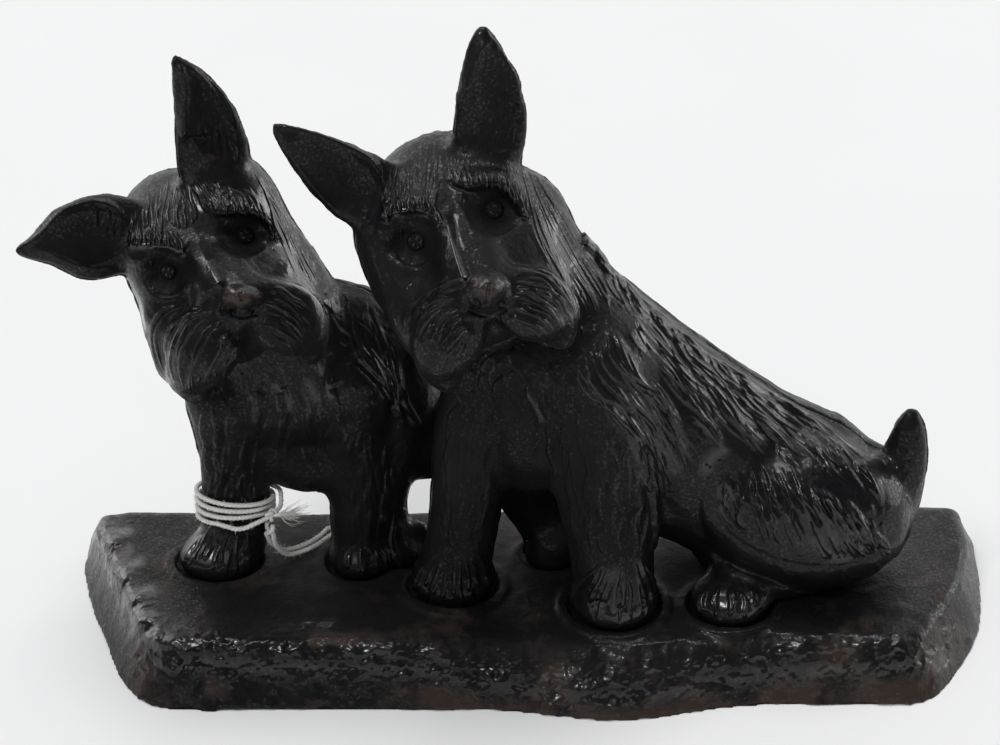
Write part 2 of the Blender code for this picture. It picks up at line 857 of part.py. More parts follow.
def loop_points():
    """The doubled string: out along the route on one side, round its end, and back on the other."""
    route = [Vector(point) for point in between(LOOP_ROUTE, 2)]
    last = len(route) - 1
    sides = []
    for i, point in enumerate(route):
        ahead = (route[min(i + 1, last)] - route[max(i - 1, 0)]).normalized()
        across = ahead.cross(Vector((0, -0.3, 1))).normalized()
        sides.append((point, ahead, across))
    half = LOOP_SPACING / 2
    out = [point + across * half for point, ahead, across in sides]
    back = [point - across * half for point, ahead, across in reversed(sides)]
    tip, ahead, across = sides[-1]
    bight = [
        tip + across * half * math.cos(a) * 1.25 + ahead * half * (0.8 + 1.5 * math.sin(a))
        for a in (math.radians(k * 30) for k in range(7))
    ]
    return out[:-1] + bight + back[1:]


def least_gap(points):
    """The least space between the tube's surface and itself, past its near neighbours along it."""
    along = [0.0]
    for near, far in zip(points, points[1:]):
        along.append(along[-1] + (far - near).length)
    return min(
        (points[j] - points[i]).length - CORD_DIAMETER
        for i in range(len(points))
        for j in range(i + 1, len(points))
        if along[j] - along[i] > 4 * CORD_DIAMETER
    )


def knot(cotton):
    """The knot, as wraps of the string pulled tight into one lump."""
    centre = knot_centre()
    clay = Clay(Matrix.Translation(centre))
    clay.ball((0, 0, 0), (KNOT_RADIUS * 0.8, KNOT_RADIUS * 0.8, KNOT_RADIUS * 0.9))
    reach = KNOT_RADIUS - CORD_DIAMETER * 0.45
    for tilt in (-35, 5, 40):
        turned = Matrix.Rotation(math.radians(tilt), 3, "Y")
        wrap = [
            turned @ Vector((reach * math.cos(a), reach * math.sin(a), 0))
            for a in (math.radians(k * 45) for k in range(9))
        ]
        thick = CORD_DIAMETER * 0.42
        clay.limb([(*point, thick, thick) for point in wrap], (0, 0, 1), 2)
    lump = clay.fused("string_knot", voxel=0.25, smoothing=2)
    decimate(lump, KNOT_TRIANGLES)
    lump.data.materials.clear()
    lump.data.materials.append(cotton)
    shade(lump, 60)
    return lump


def tag_string(cotton):
    winding, loop = winding_points(), loop_points()
    string_tube("string_winding", winding, cotton)
    string_tube("string_loop", loop, cotton)
    string_tube("string_end", between(END_ROUTE, 3), cotton)
    knot(cotton)
    print(f"least gap of the winding to itself: {least_gap(winding):.2f} mm")
    print(f"least gap of the loop to itself: {least_gap(loop):.2f} mm")


def centre_on_floor(name):
    """Gathers the pieces under one empty that puts the middle of the whole over the origin."""
    pieces = [obj for obj in bpy.data.objects if obj.type in ("MESH", "CURVE")]
    bpy.context.view_layer.update()
    corners = [
        obj.matrix_world @ Vector(corner)
        for obj in pieces
        if not obj.name.startswith("string")
        for corner in obj.bound_box
    ]
    low = [min(corner[k] for corner in corners) for k in range(3)]
    high = [max(corner[k] for corner in corners) for k in range(3)]
    whole = add_object(name, None)
    whole.location = (-(low[0] + high[0]) / 2, -(low[1] + high[1]) / 2, -low[2])
    for obj in pieces:
        obj.parent = whole


def build():
    clear_scene()
    iron = material("black_painted_cast_iron", (0.02, 0.02, 0.022), 0.35, 0.0)
    steel = material("screw_steel", (0.35, 0.34, 0.33), 0.4, 1.0)
    cotton = material("white_cotton_string", (0.85, 0.85, 0.83), 0.9, 0.0)
    base_casting(iron)
    dog_halves("sitting", sitting_body(), dog_head("sitting"), iron)
    dog_halves("standing", standing_body(), dog_head("standing"), iron)
    screws(steel)
    tag_string(cotton)
    centre_on_floor("doorstop")


build()
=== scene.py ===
"""The doorstop's looks: two cast-iron terriers on a rocky base, with a string round a foreleg.

Places and sizes are in millimetres in the frame that the castings were drawn in, seen from the
front: X to the right, Y away, Z up. MIDDLE is where that frame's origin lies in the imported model.
Marks on the castings are placed by pixels of the 1000 x 745 photograph, (u, v) from its top left.
"""

import math

import bmesh
import bpy
import numpy as np
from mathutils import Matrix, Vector
from mathutils.bvhtree import BVHTree
from mathutils.kdtree import KDTree


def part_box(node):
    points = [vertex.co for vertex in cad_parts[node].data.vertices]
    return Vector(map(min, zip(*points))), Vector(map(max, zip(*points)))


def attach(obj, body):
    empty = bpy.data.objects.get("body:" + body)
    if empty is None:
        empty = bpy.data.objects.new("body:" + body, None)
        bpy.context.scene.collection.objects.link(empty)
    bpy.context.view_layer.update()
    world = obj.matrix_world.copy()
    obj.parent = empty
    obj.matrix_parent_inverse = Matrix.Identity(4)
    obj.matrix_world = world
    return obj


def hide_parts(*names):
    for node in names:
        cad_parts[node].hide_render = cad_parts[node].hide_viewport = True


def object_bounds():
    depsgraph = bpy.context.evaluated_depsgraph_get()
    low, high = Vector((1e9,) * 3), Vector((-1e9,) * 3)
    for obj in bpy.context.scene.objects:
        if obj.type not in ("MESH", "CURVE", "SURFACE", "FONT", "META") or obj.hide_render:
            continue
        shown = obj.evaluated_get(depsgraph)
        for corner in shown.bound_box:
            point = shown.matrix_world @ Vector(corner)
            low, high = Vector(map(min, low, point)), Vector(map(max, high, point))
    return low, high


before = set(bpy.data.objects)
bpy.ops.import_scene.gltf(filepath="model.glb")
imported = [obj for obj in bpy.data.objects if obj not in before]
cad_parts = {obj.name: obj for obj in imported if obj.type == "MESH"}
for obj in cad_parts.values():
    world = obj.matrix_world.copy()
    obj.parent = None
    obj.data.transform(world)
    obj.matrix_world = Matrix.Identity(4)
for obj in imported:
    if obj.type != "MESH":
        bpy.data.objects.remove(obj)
cad_box = [list(corner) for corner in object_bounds()]

MM = 0.001
MIDDLE = np.array([0.9853, 4.3063, 0.0])
rng = np.random.default_rng(7)

# Camera

PHOTO_WIDTH, PHOTO_HEIGHT = 1000, 745
ELEVATION = 30.0
DISTANCE = 756.0
LENS, SENSOR = 117.0, 36.0
AIM = np.array([-7.0, 0.0, 69.0])
# from what the camera looks at back to the camera
VIEW = np.array([0.0, -math.cos(math.radians(ELEVATION)), math.sin(math.radians(ELEVATION))])
EYE = AIM + VIEW * DISTANCE
RIGHT = np.array([1.0, 0.0, 0.0])
UP = np.cross(RIGHT, -VIEW)
FOCAL = LENS / SENSOR * PHOTO_WIDTH


def seen_at(points):
    """The pixels at which the camera sees points."""
    away = points - EYE
    depth = away @ -VIEW
    across, up = FOCAL * (away @ RIGHT) / depth, FOCAL * (away @ UP) / depth
    return np.stack([PHOTO_WIDTH / 2 + across, PHOTO_HEIGHT / 2 - up], axis=1)


def to_world(point):
    return Vector((np.asarray(point, float) + MIDDLE) * MM)


def make_camera():
    data = bpy.data.cameras.new("camera")
    data.lens, data.sensor_width = LENS, SENSOR
    data.clip_start, data.clip_end = 0.01, 20.0
    camera = bpy.data.objects.new("camera", data)
    bpy.context.scene.collection.objects.link(camera)
    camera.location = to_world(EYE)
    camera.rotation_euler = Vector(-VIEW).to_track_quat("-Z", "Y").to_euler()
    bpy.context.scene.camera = camera


# Small tools


def link(name, mesh):
    obj = bpy.data.objects.new(name, mesh)
    bpy.context.scene.collection.objects.link(obj)
    return obj


def smoothstep(low, high, value):
    t = np.clip((value - low) / (high - low), 0.0, 1.0)
    return t * t * (3 - 2 * t)


def lattice(i, j, k, seed):
    """A number from 0 to 1 for each point of a lattice, the same in every run."""
    n = (i * 374761393 + j * 668265263 + k * 2147483647 + seed * 1274126177) & 0x7FFFFFFF
    n = ((n ^ (n >> 13)) * 1274126177) & 0x7FFFFFFF
    return ((n ^ (n >> 16)) & 0xFFFF) / 65535.0


def lumps(points, size, seed):
    """Smooth noise from -1 to 1 at points, whose lumps are about one size across."""
    places = np.asarray(points) / size
    cell = np.floor(places).astype(np.int64)
    t = places - cell
    t = t * t * (3 - 2 * t)
    total = 0.0
    for corner in range(8):
        step = np.array([corner & 1, corner >> 1 & 1, corner >> 2 & 1])
        weight = np.where(step, t, 1 - t).prod(axis=1)
        total = total + weight * lattice(*(cell + step).T, seed)
    return 2 * total - 1


def curve_through(points, count):
    """Points evenly along a smooth curve through the given ones."""
    points = np.asarray(points, float)
    if len(points) == 2:
        t = np.linspace(0, 1, count)[:, None]
        return points[0] * (1 - t) + points[1] * t
    rows = np.vstack([2 * points[0] - points[1], points, 2 * points[-1] - points[-2]])
    run = []
    t = np.linspace(0, 1, 12, endpoint=False)[:, None]
    for i in range(1, len(rows) - 2):
        a, b, c, d = rows[i - 1 : i + 3]
        bend, swing = 2 * a - 5 * b + 4 * c - d, 3 * b - a - 3 * c + d
        run.append(0.5 * (2 * b + (c - a) * t + bend * t**2 + swing * t**3))
    run = np.vstack([*run, points[-1:]])
    along = np.concatenate([[0], np.cumsum(np.linalg.norm(np.diff(run, axis=0), axis=1))])
    wanted = np.linspace(0, along[-1], count)
    return np.stack([np.interp(wanted, along, run[:, k]) for k in range(points.shape[1])], axis=1)


# The string, along the routes of the solids that it replaces

LEG_CENTRE, LEG_HALVES = (-70.2, 2.0), (7.9, 6.2)
CORD_DIAMETER, CLEARANCE = 1.25, 0.3
WINDING_TURNS, WINDING_PITCH, WINDING_FOOT = 4, 1.68, 29.4
KNOT_ANGLE, KNOT_LEVEL, KNOT_RADIUS = -40.0, 32.6, 1.7
LOOP_SPACING = 1.7
LOOP_ROUTE = [
    (-61.5, -5.0, 30.4), (-61.7, -4.4, 27.6), (-61.4, -2.8, 24.2), (-60.3, -0.4, 20.6), (-58.6, 1.6, 18.2),
    (-56.4, 3.4, 17.4), (-53.4, 5.6, 17.3), (-50.8, 8.0, 17.6), (-48.8, 10.2, 18.1),
]
END_ROUTE = [(-59.4, -4.8, 32.9), (-57.4, -4.6, 33.1), (-55.6, -4.2, 32.9), (-54.0, -3.6, 32.3)]
# how much wider than the solid's the turns lie apart, on the whole and at the leg's left
SPREAD, LEFT_SPREAD = 1.08, 0.26
# how much the turns rise at the leg's front and fall behind it
FRONT_LIFT = 1.1
PLY_REACH, PLY_RADIUS, PLY_GROOVE = 0.536, 0.464, 0.52
TWIST = 2.9
CORD_SIDES, KNOT_SIDES = 18, 15
# the fine fibres that stand off the string
FIBRE_LENGTH, FIBRE_SPREAD, FIBRE_RADII = 0.9, 0.8, (0.045, 0.02)
# how thick the cord is in the knot and in the stub beyond it
KNOT_CORD, STUB_RADII = 0.56, (0.6, 0.52)
# the frayed end: how many fibres it opens into, and how thick its plies and its fibres are
FRAY_COUNT, FRAY_PLY_RADII, FRAY_RADII = 90, (0.3, 0.16), (0.06, 0.03)


def round_leg(turned, out, level):
    reach = 2 * CLEARANCE + CORD_DIAMETER / 2 + out
    angle = math.radians(KNOT_ANGLE - turned)
    spread = SPREAD - LEFT_SPREAD * math.cos(angle)
    from_knot = min(turned, 360 * WINDING_TURNS - turned)
    lift = FRONT_LIFT * -math.sin(angle) * smoothstep(10, 70, from_knot)
    return (
        LEG_CENTRE[0] + (LEG_HALVES[0] + reach) * math.cos(angle),
        LEG_CENTRE[1] + (LEG_HALVES[1] + reach) * math.sin(angle),
        KNOT_LEVEL + (level - KNOT_LEVEL) * spread + lift,
    )


def winding_route():
    """Turns round the foreleg, with both ends led out to the knot."""
    top = WINDING_FOOT + WINDING_PITCH * WINDING_TURNS
    whole = 360 * WINDING_TURNS
    out = CORD_DIAMETER / 2 + CLEARANCE + KNOT_RADIUS
    lead = [
        (5, out, KNOT_LEVEL - 0.3),
        (16, out, KNOT_LEVEL - 0.6),
        (24, out - 0.2, KNOT_LEVEL - 1.2),
        (34, out - 0.7, WINDING_FOOT + 0.8),
        (46, out - 1.2, WINDING_FOOT + 0.2),
        (58, out - 2.1, WINDING_FOOT + 0.1),
    ]
    tail = [
        (whole - 58, out - 2.1, top - 0.1),
        (whole - 46, out - 1.2, top - 0.2),
        (whole - 34, out - 0.7, top - 0.8),
        (whole - 24, out - 0.2, KNOT_LEVEL + 1.2),
        (whole - 16, out, KNOT_LEVEL + 0.6),
        (whole - 5, out, KNOT_LEVEL + 0.3),
    ]
    turns = [
        (turned, 0.0, WINDING_FOOT + WINDING_PITCH * turned / 360)
        for turned in range(75, whole - 74, 15)
    ]
    return curve_through([round_leg(*row) for row in lead + turns + tail], 700)


def loop_route():
    """Out along one side of the doubled route, round its end and back along the other side."""
    route = curve_through(LOOP_ROUTE, 17)
    ahead = np.gradient(route, axis=0)
    ahead /= np.linalg.norm(ahead, axis=1)[:, None]
    across = np.cross(ahead, (0.0, -0.3, 1.0))
    across /= np.linalg.norm(across, axis=1)[:, None]
    half = LOOP_SPACING / 2
    bight = [
        route[-1] + across[-1] * half * math.cos(a) * 1.25 + ahead[-1] * half * (0.8 + 1.5 * math.sin(a))
        for a in np.radians(range(0, 181, 30))
    ]
    return curve_through([*(route + across * half)[:-1], *bight, *(route - across * half)[-2::-1]], 270)


def ply_outline(angle):
    """How far a cord of three plies reaches at an angle, as a share of its radius."""
    third = 2 * math.pi / 3
    off = (angle + third / 2) % third - third / 2
    reach = PLY_REACH * math.cos(off) + math.sqrt(max(PLY_RADIUS**2 - (PLY_REACH * math.sin(off)) ** 2, 0.0))
    return max(reach, PLY_GROOVE)


def tube(path, start, end, sides, twist=0.0):
    """The corners and faces of a thread along a path in mm, from one radius to another."""
    path = np.asarray(path, float)
    ahead = np.gradient(path, axis=0)
    ahead /= np.linalg.norm(ahead, axis=1)[:, None] + 1e-12
    along = np.concatenate([[0], np.cumsum(np.linalg.norm(np.diff(path, axis=0), axis=1))])
    side = np.cross(ahead[0], (0.3, 0.2, 1.0))
    corners, faces = [], []
    for k, centre in enumerate(path):
        side = side - ahead[k] * (side @ ahead[k])
        side = side / (np.linalg.norm(side) + 1e-12)
        up = np.cross(ahead[k], side)
        radius = start + (end - start) * k / (len(path) - 1)
        for j in range(sides):
            a = 2 * math.pi * j / sides
            reach = radius * (ply_outline(a + 2 * math.pi * along[k] / twist) if twist else 1.0)
            corners.append(centre + reach * (math.cos(a) * side + math.sin(a) * up))
        if k:
            first = (k - 1) * sides
            faces += [
                (first + j, first + (j + 1) % sides, first + sides + (j + 1) % sides, first + sides + j)
                for j in range(sides)
            ]
    last = (len(path) - 1) * sides
    faces += [tuple(range(sides - 1, -1, -1)), tuple(range(last, last + sides))]
    return corners, faces


def string_piece(name, tubes, node=None):
    corners, faces = [], []
    for places, sides in tubes:
        faces += [tuple(len(corners) + i for i in face) for face in sides]
        corners += [to_world(place) for place in places]
    mesh = bpy.data.meshes.new(name)
    mesh.from_pydata(corners, [], faces)
    mesh.shade_smooth()
    obj = link(name, mesh)
    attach(obj, "root")
    if node:
        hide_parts(node)
    return obj


def fibres(route, count):
    """Fine loose fibres that stand off a cord."""
    made = []
    for _ in range(count):
        k = int(rng.integers(2, len(route) - 2))
        ahead = route[k + 1] - route[k - 1]
        ahead = ahead / np.linalg.norm(ahead)
        out = rng.normal(size=3)
        out -= ahead * (out @ ahead)
        out /= np.linalg.norm(out)
        start = route[k] + out * CORD_DIAMETER * 0.42
        size = FIBRE_LENGTH * rng.uniform(0.5, 1.3)
        curl = ahead * rng.uniform(-1, 1) + rng.normal(size=3) * 0.3
        t = np.linspace(0, 1, 6)[:, None]
        made.append(tube(start + size * (out * t * FIBRE_SPREAD + curl * t**2), *FIBRE_RADII, 3))
    return made


def frayed_end(knot):
    """The short end: a stub that opens into its plies and then into fibres."""
    route = curve_through([knot, *END_ROUTE], 24)
    made = [tube(route[:9], *STUB_RADII, KNOT_SIDES, TWIST)]
    for k in range(3):
        turn = np.array([0.0, math.cos(2.1 * k), math.sin(2.1 * k)])
        t = np.linspace(0, 1, len(route) - 6)[:, None]
        made.append(tube((route[6:] + turn * (0.25 + 0.7 * t**1.4))[:12], *FRAY_PLY_RADII, 7))
    for _ in range(FRAY_COUNT):
        start = route[int(rng.integers(4, 16))] + rng.normal(size=3) * 0.25
        aim = np.array([1.0, rng.uniform(-0.5, 0.4), rng.uniform(-0.35, 0.75)])
        bend = rng.normal(size=3) * 0.8
        t = np.linspace(0, 1, 8)[:, None]
        path = start + aim * t * rng.uniform(1.8, 5.0) + bend * t * (1.2 - t) * 2
        made.append(tube(path, *FRAY_RADII, 4))
    return made


def knot_turns(centre):
    """An overhand knot pulled tight, seen from outside the leg."""
    t = np.linspace(0, 2 * math.pi, 90)
    out = np.array([math.cos(math.radians(KNOT_ANGLE)), math.sin(math.radians(KNOT_ANGLE)), 0.0])
    along = np.cross(out, (0.0, 0.0, 1.0))
    x, y, z = np.sin(t) + 2 * np.sin(2 * t), np.cos(t) - 2 * np.cos(2 * t), -np.sin(3 * t)
    size = 0.25 * KNOT_RADIUS
    path = centre + size * (x[:, None] * along + y[:, None] * np.array([0, 0, 1.0]) + 1.1 * z[:, None] * out)
    return [tube(path, KNOT_CORD, KNOT_CORD, KNOT_SIDES, TWIST)]


def make_string():
    winding, loop = winding_route(), loop_route()
    centre = np.array(round_leg(0, CORD_DIAMETER / 2 + CLEARANCE + KNOT_RADIUS, KNOT_LEVEL))
    radius = CORD_DIAMETER / 2
    turns, doubled = [
        string_piece("tag_" + node, [tube(route, radius, radius, CORD_SIDES, TWIST)], node)
        for node, route in (("string_winding", winding), ("string_loop", loop))
    ]
    knot = string_piece("tag_string_knot", knot_turns(centre), "string_knot")
    end = string_piece("tag_string_end", frayed_end(centre), "string_end")
    fuzz = string_piece("tag_string_fuzz", fibres(winding, 420) + fibres(loop, 170))
    return [turns, doubled, knot, end, fuzz]


# Castings


def close_hollow(shape, level, side):
    """Takes out a half casting's inside: the flat face at its parting plane is made whole."""
    flat = [
        face
        for face in shape.faces
        if abs(face.normal.y) > 0.99 and abs(face.calc_center_median().y - level) < 3e-5
    ]
    bmesh.ops.delete(shape, geom=flat, context="FACES")
    left, islands = set(shape.faces), []
    while left:
        queue, island = [left.pop()], []
        while queue:
            face = queue.pop()
            island.append(face)
            for edge in face.edges:
                for other in edge.link_faces:
                    if other in left:
                        left.discard(other)
                        queue.append(other)
        islands.append(island)

    def reach(island):
        places = np.array([vert.co for face in island for vert in face.verts])
        return np.linalg.norm(np.ptp(places, axis=0))

    outer = max(islands, key=reach)
    inner = [face for island in islands if island is not outer for face in island]
    bmesh.ops.delete(shape, geom=inner, context="FACES")
    bmesh.ops.delete(shape, geom=[v for v in shape.verts if not v.link_faces], context="VERTS")
    rim = [edge for edge in shape.edges if len(edge.link_faces) == 1]
    bmesh.ops.triangle_fill(shape, edges=rim, use_beauty=True, normal=(0, side, 0))
    bmesh.ops.recalc_face_normals(shape, faces=shape.faces)


# how far in front of a corner the skin may lie before it hides it, and how far from it what is just behind
# an edge may lie, in mm
HIDING, JUST_BEHIND = 0.6, 6.0
# how much a corner faces the camera at least, from -1 to 1, to be seen and to be just behind an edge
FACING_SEEN, FACING_BEHIND = 0.02, -0.8
# the locks of the sides that the photograph doesn't show: how far apart, how long and how wide, how far
# their crests lie to one side, how much they wave, the shares over which they rise and fall, the steps
# that they are traced in, and how far from the skin a step ends them
COMB_SPACING, COMB_LENGTH, COMB_WIDTH = 3.2, 13, 2.0
COMB_LEAN, COMB_WAVE, COMB_RISE, COMB_FALL = 0.4, 0.3, 0.25, 0.45
COMB_STEP, COMB_OFF = 0.7, 0.6


def both_ways(ends):
    """The two ends of edges, each pair in both orders."""
    return np.concatenate([ends[:, 0], ends[:, 1]]), np.concatenate([ends[:, 1], ends[:, 0]])


class Casting:
    """A casting's skin in millimetres, made from its CAD node and worked into finer shapes."""

    def __init__(self, node, voxel, relax, half=None):
        self.node = node
        shape = bmesh.new()
        shape.from_mesh(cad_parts[node].data)
        bmesh.ops.remove_doubles(shape, verts=shape.verts, dist=1e-6)
        low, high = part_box(node)
        if half == "front":
            close_hollow(shape, high.y, 1)
        elif half == "back":
            close_hollow(shape, low.y, -1)
        mesh = bpy.data.meshes.new(node + "_skin")
        shape.to_mesh(mesh)
        shape.free()
        self.obj = link(node + "_skin", mesh)
        fuse = self.obj.modifiers.new("fuse", "REMESH")
        fuse.mode = "VOXEL"
        fuse.voxel_size = voxel * MM
        soften = self.obj.modifiers.new("soften", "SMOOTH")
        soften.factor = 0.5
        soften.iterations = relax
        graph = bpy.context.evaluated_depsgraph_get()
        made = bpy.data.meshes.new_from_object(self.obj.evaluated_get(graph))
        self.obj.modifiers.clear()
        self.obj.data = made
        made.name = node + "_skin"
        self.read()

    def read(self):
        mesh = self.obj.data
        places = np.empty(len(mesh.vertices) * 3)
        mesh.vertices.foreach_get("co", places)
        self.places = places.reshape(-1, 3) / MM - MIDDLE
        self.turn()

    def turn(self):
        """Writes the places back and reads the normals."""
        mesh = self.obj.data
        mesh.vertices.foreach_set("co", ((self.places + MIDDLE) * MM).ravel())
        mesh.update()
        normals = np.empty(len(mesh.vertices) * 3)
        mesh.vertex_normals.foreach_get("vector", normals)
        self.normals = normals.reshape(-1, 3)

    def refine(self, wanted):
        """Divides the faces whose middles satisfy a test."""
        mesh = self.obj.data
        centres = np.empty(len(mesh.polygons) * 3)
        mesh.polygons.foreach_get("center", centres)
        facing = np.empty(len(mesh.polygons) * 3)
        mesh.polygons.foreach_get("normal", facing)
        chosen = wanted(centres.reshape(-1, 3) / MM - MIDDLE, facing.reshape(-1, 3))
        shape = bmesh.new()
        shape.from_mesh(mesh)
        shape.faces.ensure_lookup_table()
        edges = {edge for i in np.nonzero(chosen)[0] for edge in shape.faces[i].edges}
        bmesh.ops.subdivide_edges(shape, edges=list(edges), cuts=1, use_grid_fill=True, smooth=0.0)
        shape.to_mesh(mesh)
        shape.free()
        self.read()

    def edges(self):
        ends = np.empty(len(self.obj.data.edges) * 2, np.int32)
        self.obj.data.edges.foreach_get("vertices", ends)
        return ends.reshape(-1, 2)

    def smooth(self, rounds):
        """Evens out the skin's facets: each round moves a corner half way to its neighbours' mean."""
        a, b = both_ways(self.edges())
        count = np.maximum(np.bincount(a, minlength=len(self.places)), 1)
        for _ in range(rounds):
            for k in range(3):
                mean = np.bincount(a, weights=self.places[b, k], minlength=len(count)) / count
                self.places[:, k] += 0.5 * (mean - self.places[:, k])
        self.turn()

    def roughen(self, rows):
        """Adds the skin of the casting: lumps of several sizes, as rows of (size, height)."""
        for k, (size, height) in enumerate(rows):
            self.places += self.normals * (height * lumps(self.places, size, k))[:, None]
        self.turn()

    def look(self):
        """Finds what the camera sees of the skin."""
        mesh = self.obj.data
        corners = [Vector(p) for p in self.places.tolist()]
        self.tree = BVHTree.FromPolygons(corners, [tuple(p.vertices) for p in mesh.polygons])
        self.pixels = seen_at(self.places)
        sights = EYE - self.places
        self.range = np.linalg.norm(sights, axis=1)
        self.sights = sights / self.range[:, None]
        facing = (self.normals * self.sights).sum(axis=1)
        self.near = facing > FACING_BEHIND
        self.seen = facing > FACING_SEEN
        eye_place = Vector(EYE)
        rays = (-self.sights).tolist()
        for i in np.nonzero(self.near)[0]:
            distance = self.tree.ray_cast(eye_place, Vector(rays[i]))[3]
            if distance is not None and distance < self.range[i] - HIDING:
                self.seen[i] = False
                self.near[i] = distance > self.range[i] - JUST_BEHIND
        # layers of paint: gloss, rust, and painted shade as duller paint
        self.paint = {name: np.zeros(len(self.places)) for name in ("gloss", "rust", "dull_and_shade")}

    def trail(self, start, field):
        """The points and normals of a lock's run over the skin from a corner, along a field of directions."""
        point, normal, run = self.places[start].copy(), self.normals[start], []
        phase = rng.uniform(0, 6.28)
        steps = int(COMB_LENGTH * rng.uniform(0.7, 1.3) / COMB_STEP)
        for k in range(max(steps, 4)):
            run.append((point, normal))
            ahead = field(point)
            ahead = ahead - normal * (ahead @ normal)
            size = np.linalg.norm(ahead)
            if size < 0.05:
                break
            ahead = ahead / size
            ahead = ahead + np.cross(normal, ahead) * COMB_WAVE * math.sin(phase + k * 0.5)
            hit, facing, _, distance = self.tree.find_nearest(Vector(point + COMB_STEP * ahead))
            if hit is None or distance > COMB_OFF:
                break
            point, normal = np.array(hit), np.array(facing)
        return run

    def comb(self, wanted, field, height):
        """Locks spread over a part that the photograph doesn't show, each along a field of directions."""
        rows = np.nonzero(wanted(self.places, self.normals))[0]
        near = KDTree(len(rows))
        for i in rows:
            near.insert(Vector(self.places[i]), int(i))
        near.balance()
        relief = np.zeros(len(self.places))
        taken = set()
        for i in rng.permutation(rows):
            cell = tuple(np.floor(self.places[i] / COMB_SPACING).astype(int))
            if cell in taken:
                continue
            taken.add(cell)
            run = self.trail(i, field)
            if len(run) < 4:
                continue
            tall = height * rng.uniform(0.6, 1.2)
            for k, (point, normal) in enumerate(run):
                part = k / (len(run) - 1)
                fade = min(part / COMB_RISE, 1.0) * min((1 - part) / COMB_FALL, 1.0)
                ahead = run[min(k + 1, len(run) - 1)][0] - run[max(k - 1, 0)][0]
                ahead = ahead / (np.linalg.norm(ahead) + 1e-9)
                across = np.cross(normal, ahead)
                reach = COMB_WIDTH * (0.4 + 0.6 * fade)
                for place, j, distance in near.find_range(Vector(point), reach):
                    side = ((np.array(place) - point) @ across) / reach
                    edge = (1 - (distance / reach) ** 2) ** 2
                    if side >= COMB_LEAN:
                        edge *= max(0.0, 1 - (side - COMB_LEAN) / (1 - COMB_LEAN)) ** 0.5
                    relief[j] = max(relief[j], tall * edge * fade**0.5)
        self.places += self.normals * relief[:, None]
        self.turn()

    def fatten(self, pixel, reach, amount):
        """Moves the skin out near a pixel of its outline, or in where amount is less than 0."""
        gap = np.hypot(*(seen_at(self.places) - np.array(pixel)).T)
        self.places += self.normals * (amount * np.exp(-((gap / reach) ** 2)))[:, None]
        self.turn()

    def finish(self, slot, material):
        low, high = [np.array(corner) / MM - MIDDLE for corner in cad_box]
        self.places = np.clip(self.places, low, high)
        self.turn()
        mesh = self.obj.data
        for name, values in self.paint.items():
            layer = mesh.attributes.new(name, "FLOAT", "POINT")
            layer.data.foreach_set("value", values)
        mesh.materials.clear()
        mesh.materials.append(material)
        mesh.shade_smooth()
        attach(self.obj, "root")
        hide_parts(self.node)


# Relief towards the camera


def signed_gap(u, v, path):
    """How far pixels are from a path, less than 0 to the left of its run, and how far along it."""
    best = np.full(len(u), 1e9)
    side, spot = np.zeros(len(u)), np.zeros(len(u))
    for k in range(len(path) - 1):
        (a, b), (c, d) = path[k], path[k + 1]
        run, rise = c - a, d - b
        t = np.clip(((u - a) * run + (v - b) * rise) / (run * run + rise * rise + 1e-9), 0, 1)
        gap = np.hypot(u - a - t * run, v - b - t * rise)
        near = gap < best
        best[near] = gap[near]
        side[near] = np.sign(run * (v - b) - rise * (u - a))[near]
        spot[near] = ((k + t) / (len(path) - 1))[near]
    return best * side, spot


def along_curve(u, v, curve):
    return signed_gap(u, v, curve_through(curve, 34))


def straight_gap(u, v, outline):
    return np.abs(signed_gap(u, v, outline)[0])


def in_outline(u, v, outline):
    inside = np.zeros(len(u), bool)
    for (a, b), (c, d) in zip(outline, outline[1:] + outline[:1]):
        crosses = (b > v) != (d > v)
        inside ^= crosses & (u < (c - a) * (v - b) / (d - b if d != b else 1e-9) + a)
    return inside


# how far beside a lock's crest it shines, as a share of its width
CREST_SHINE = 0.3
# the steps, as shares of the whole, that strew tufts evenly across their guides and along them
EVEN_ACROSS, EVEN_ALONG = 0.5698403, 0.7548777
# the shares of a tuft over which it rises and falls
TUFT_TAPER = (0.3, 0.45)


def among(curves, spot):
    """The curve that lies at a spot, from 0 to the last one's number, among curves."""
    k = min(int(spot), max(len(curves) - 2, 0))
    return curves[k] * (1 - spot + k) + curves[min(k + 1, len(curves) - 1)] * (spot - k)


def waved(path, wave, least, most, part=1.0):
    """A path of pixels that waves from side to side, through an angle drawn from least to most."""
    ahead = np.gradient(path, axis=0)
    across = np.stack([-ahead[:, 1], ahead[:, 0]], axis=1)
    across /= np.linalg.norm(across, axis=1)[:, None] + 1e-9
    turns = rng.uniform(0, 6.28) + np.linspace(0, rng.uniform(least, most) * part, len(path))
    return path + across * (wave * np.sin(turns))[:, None]


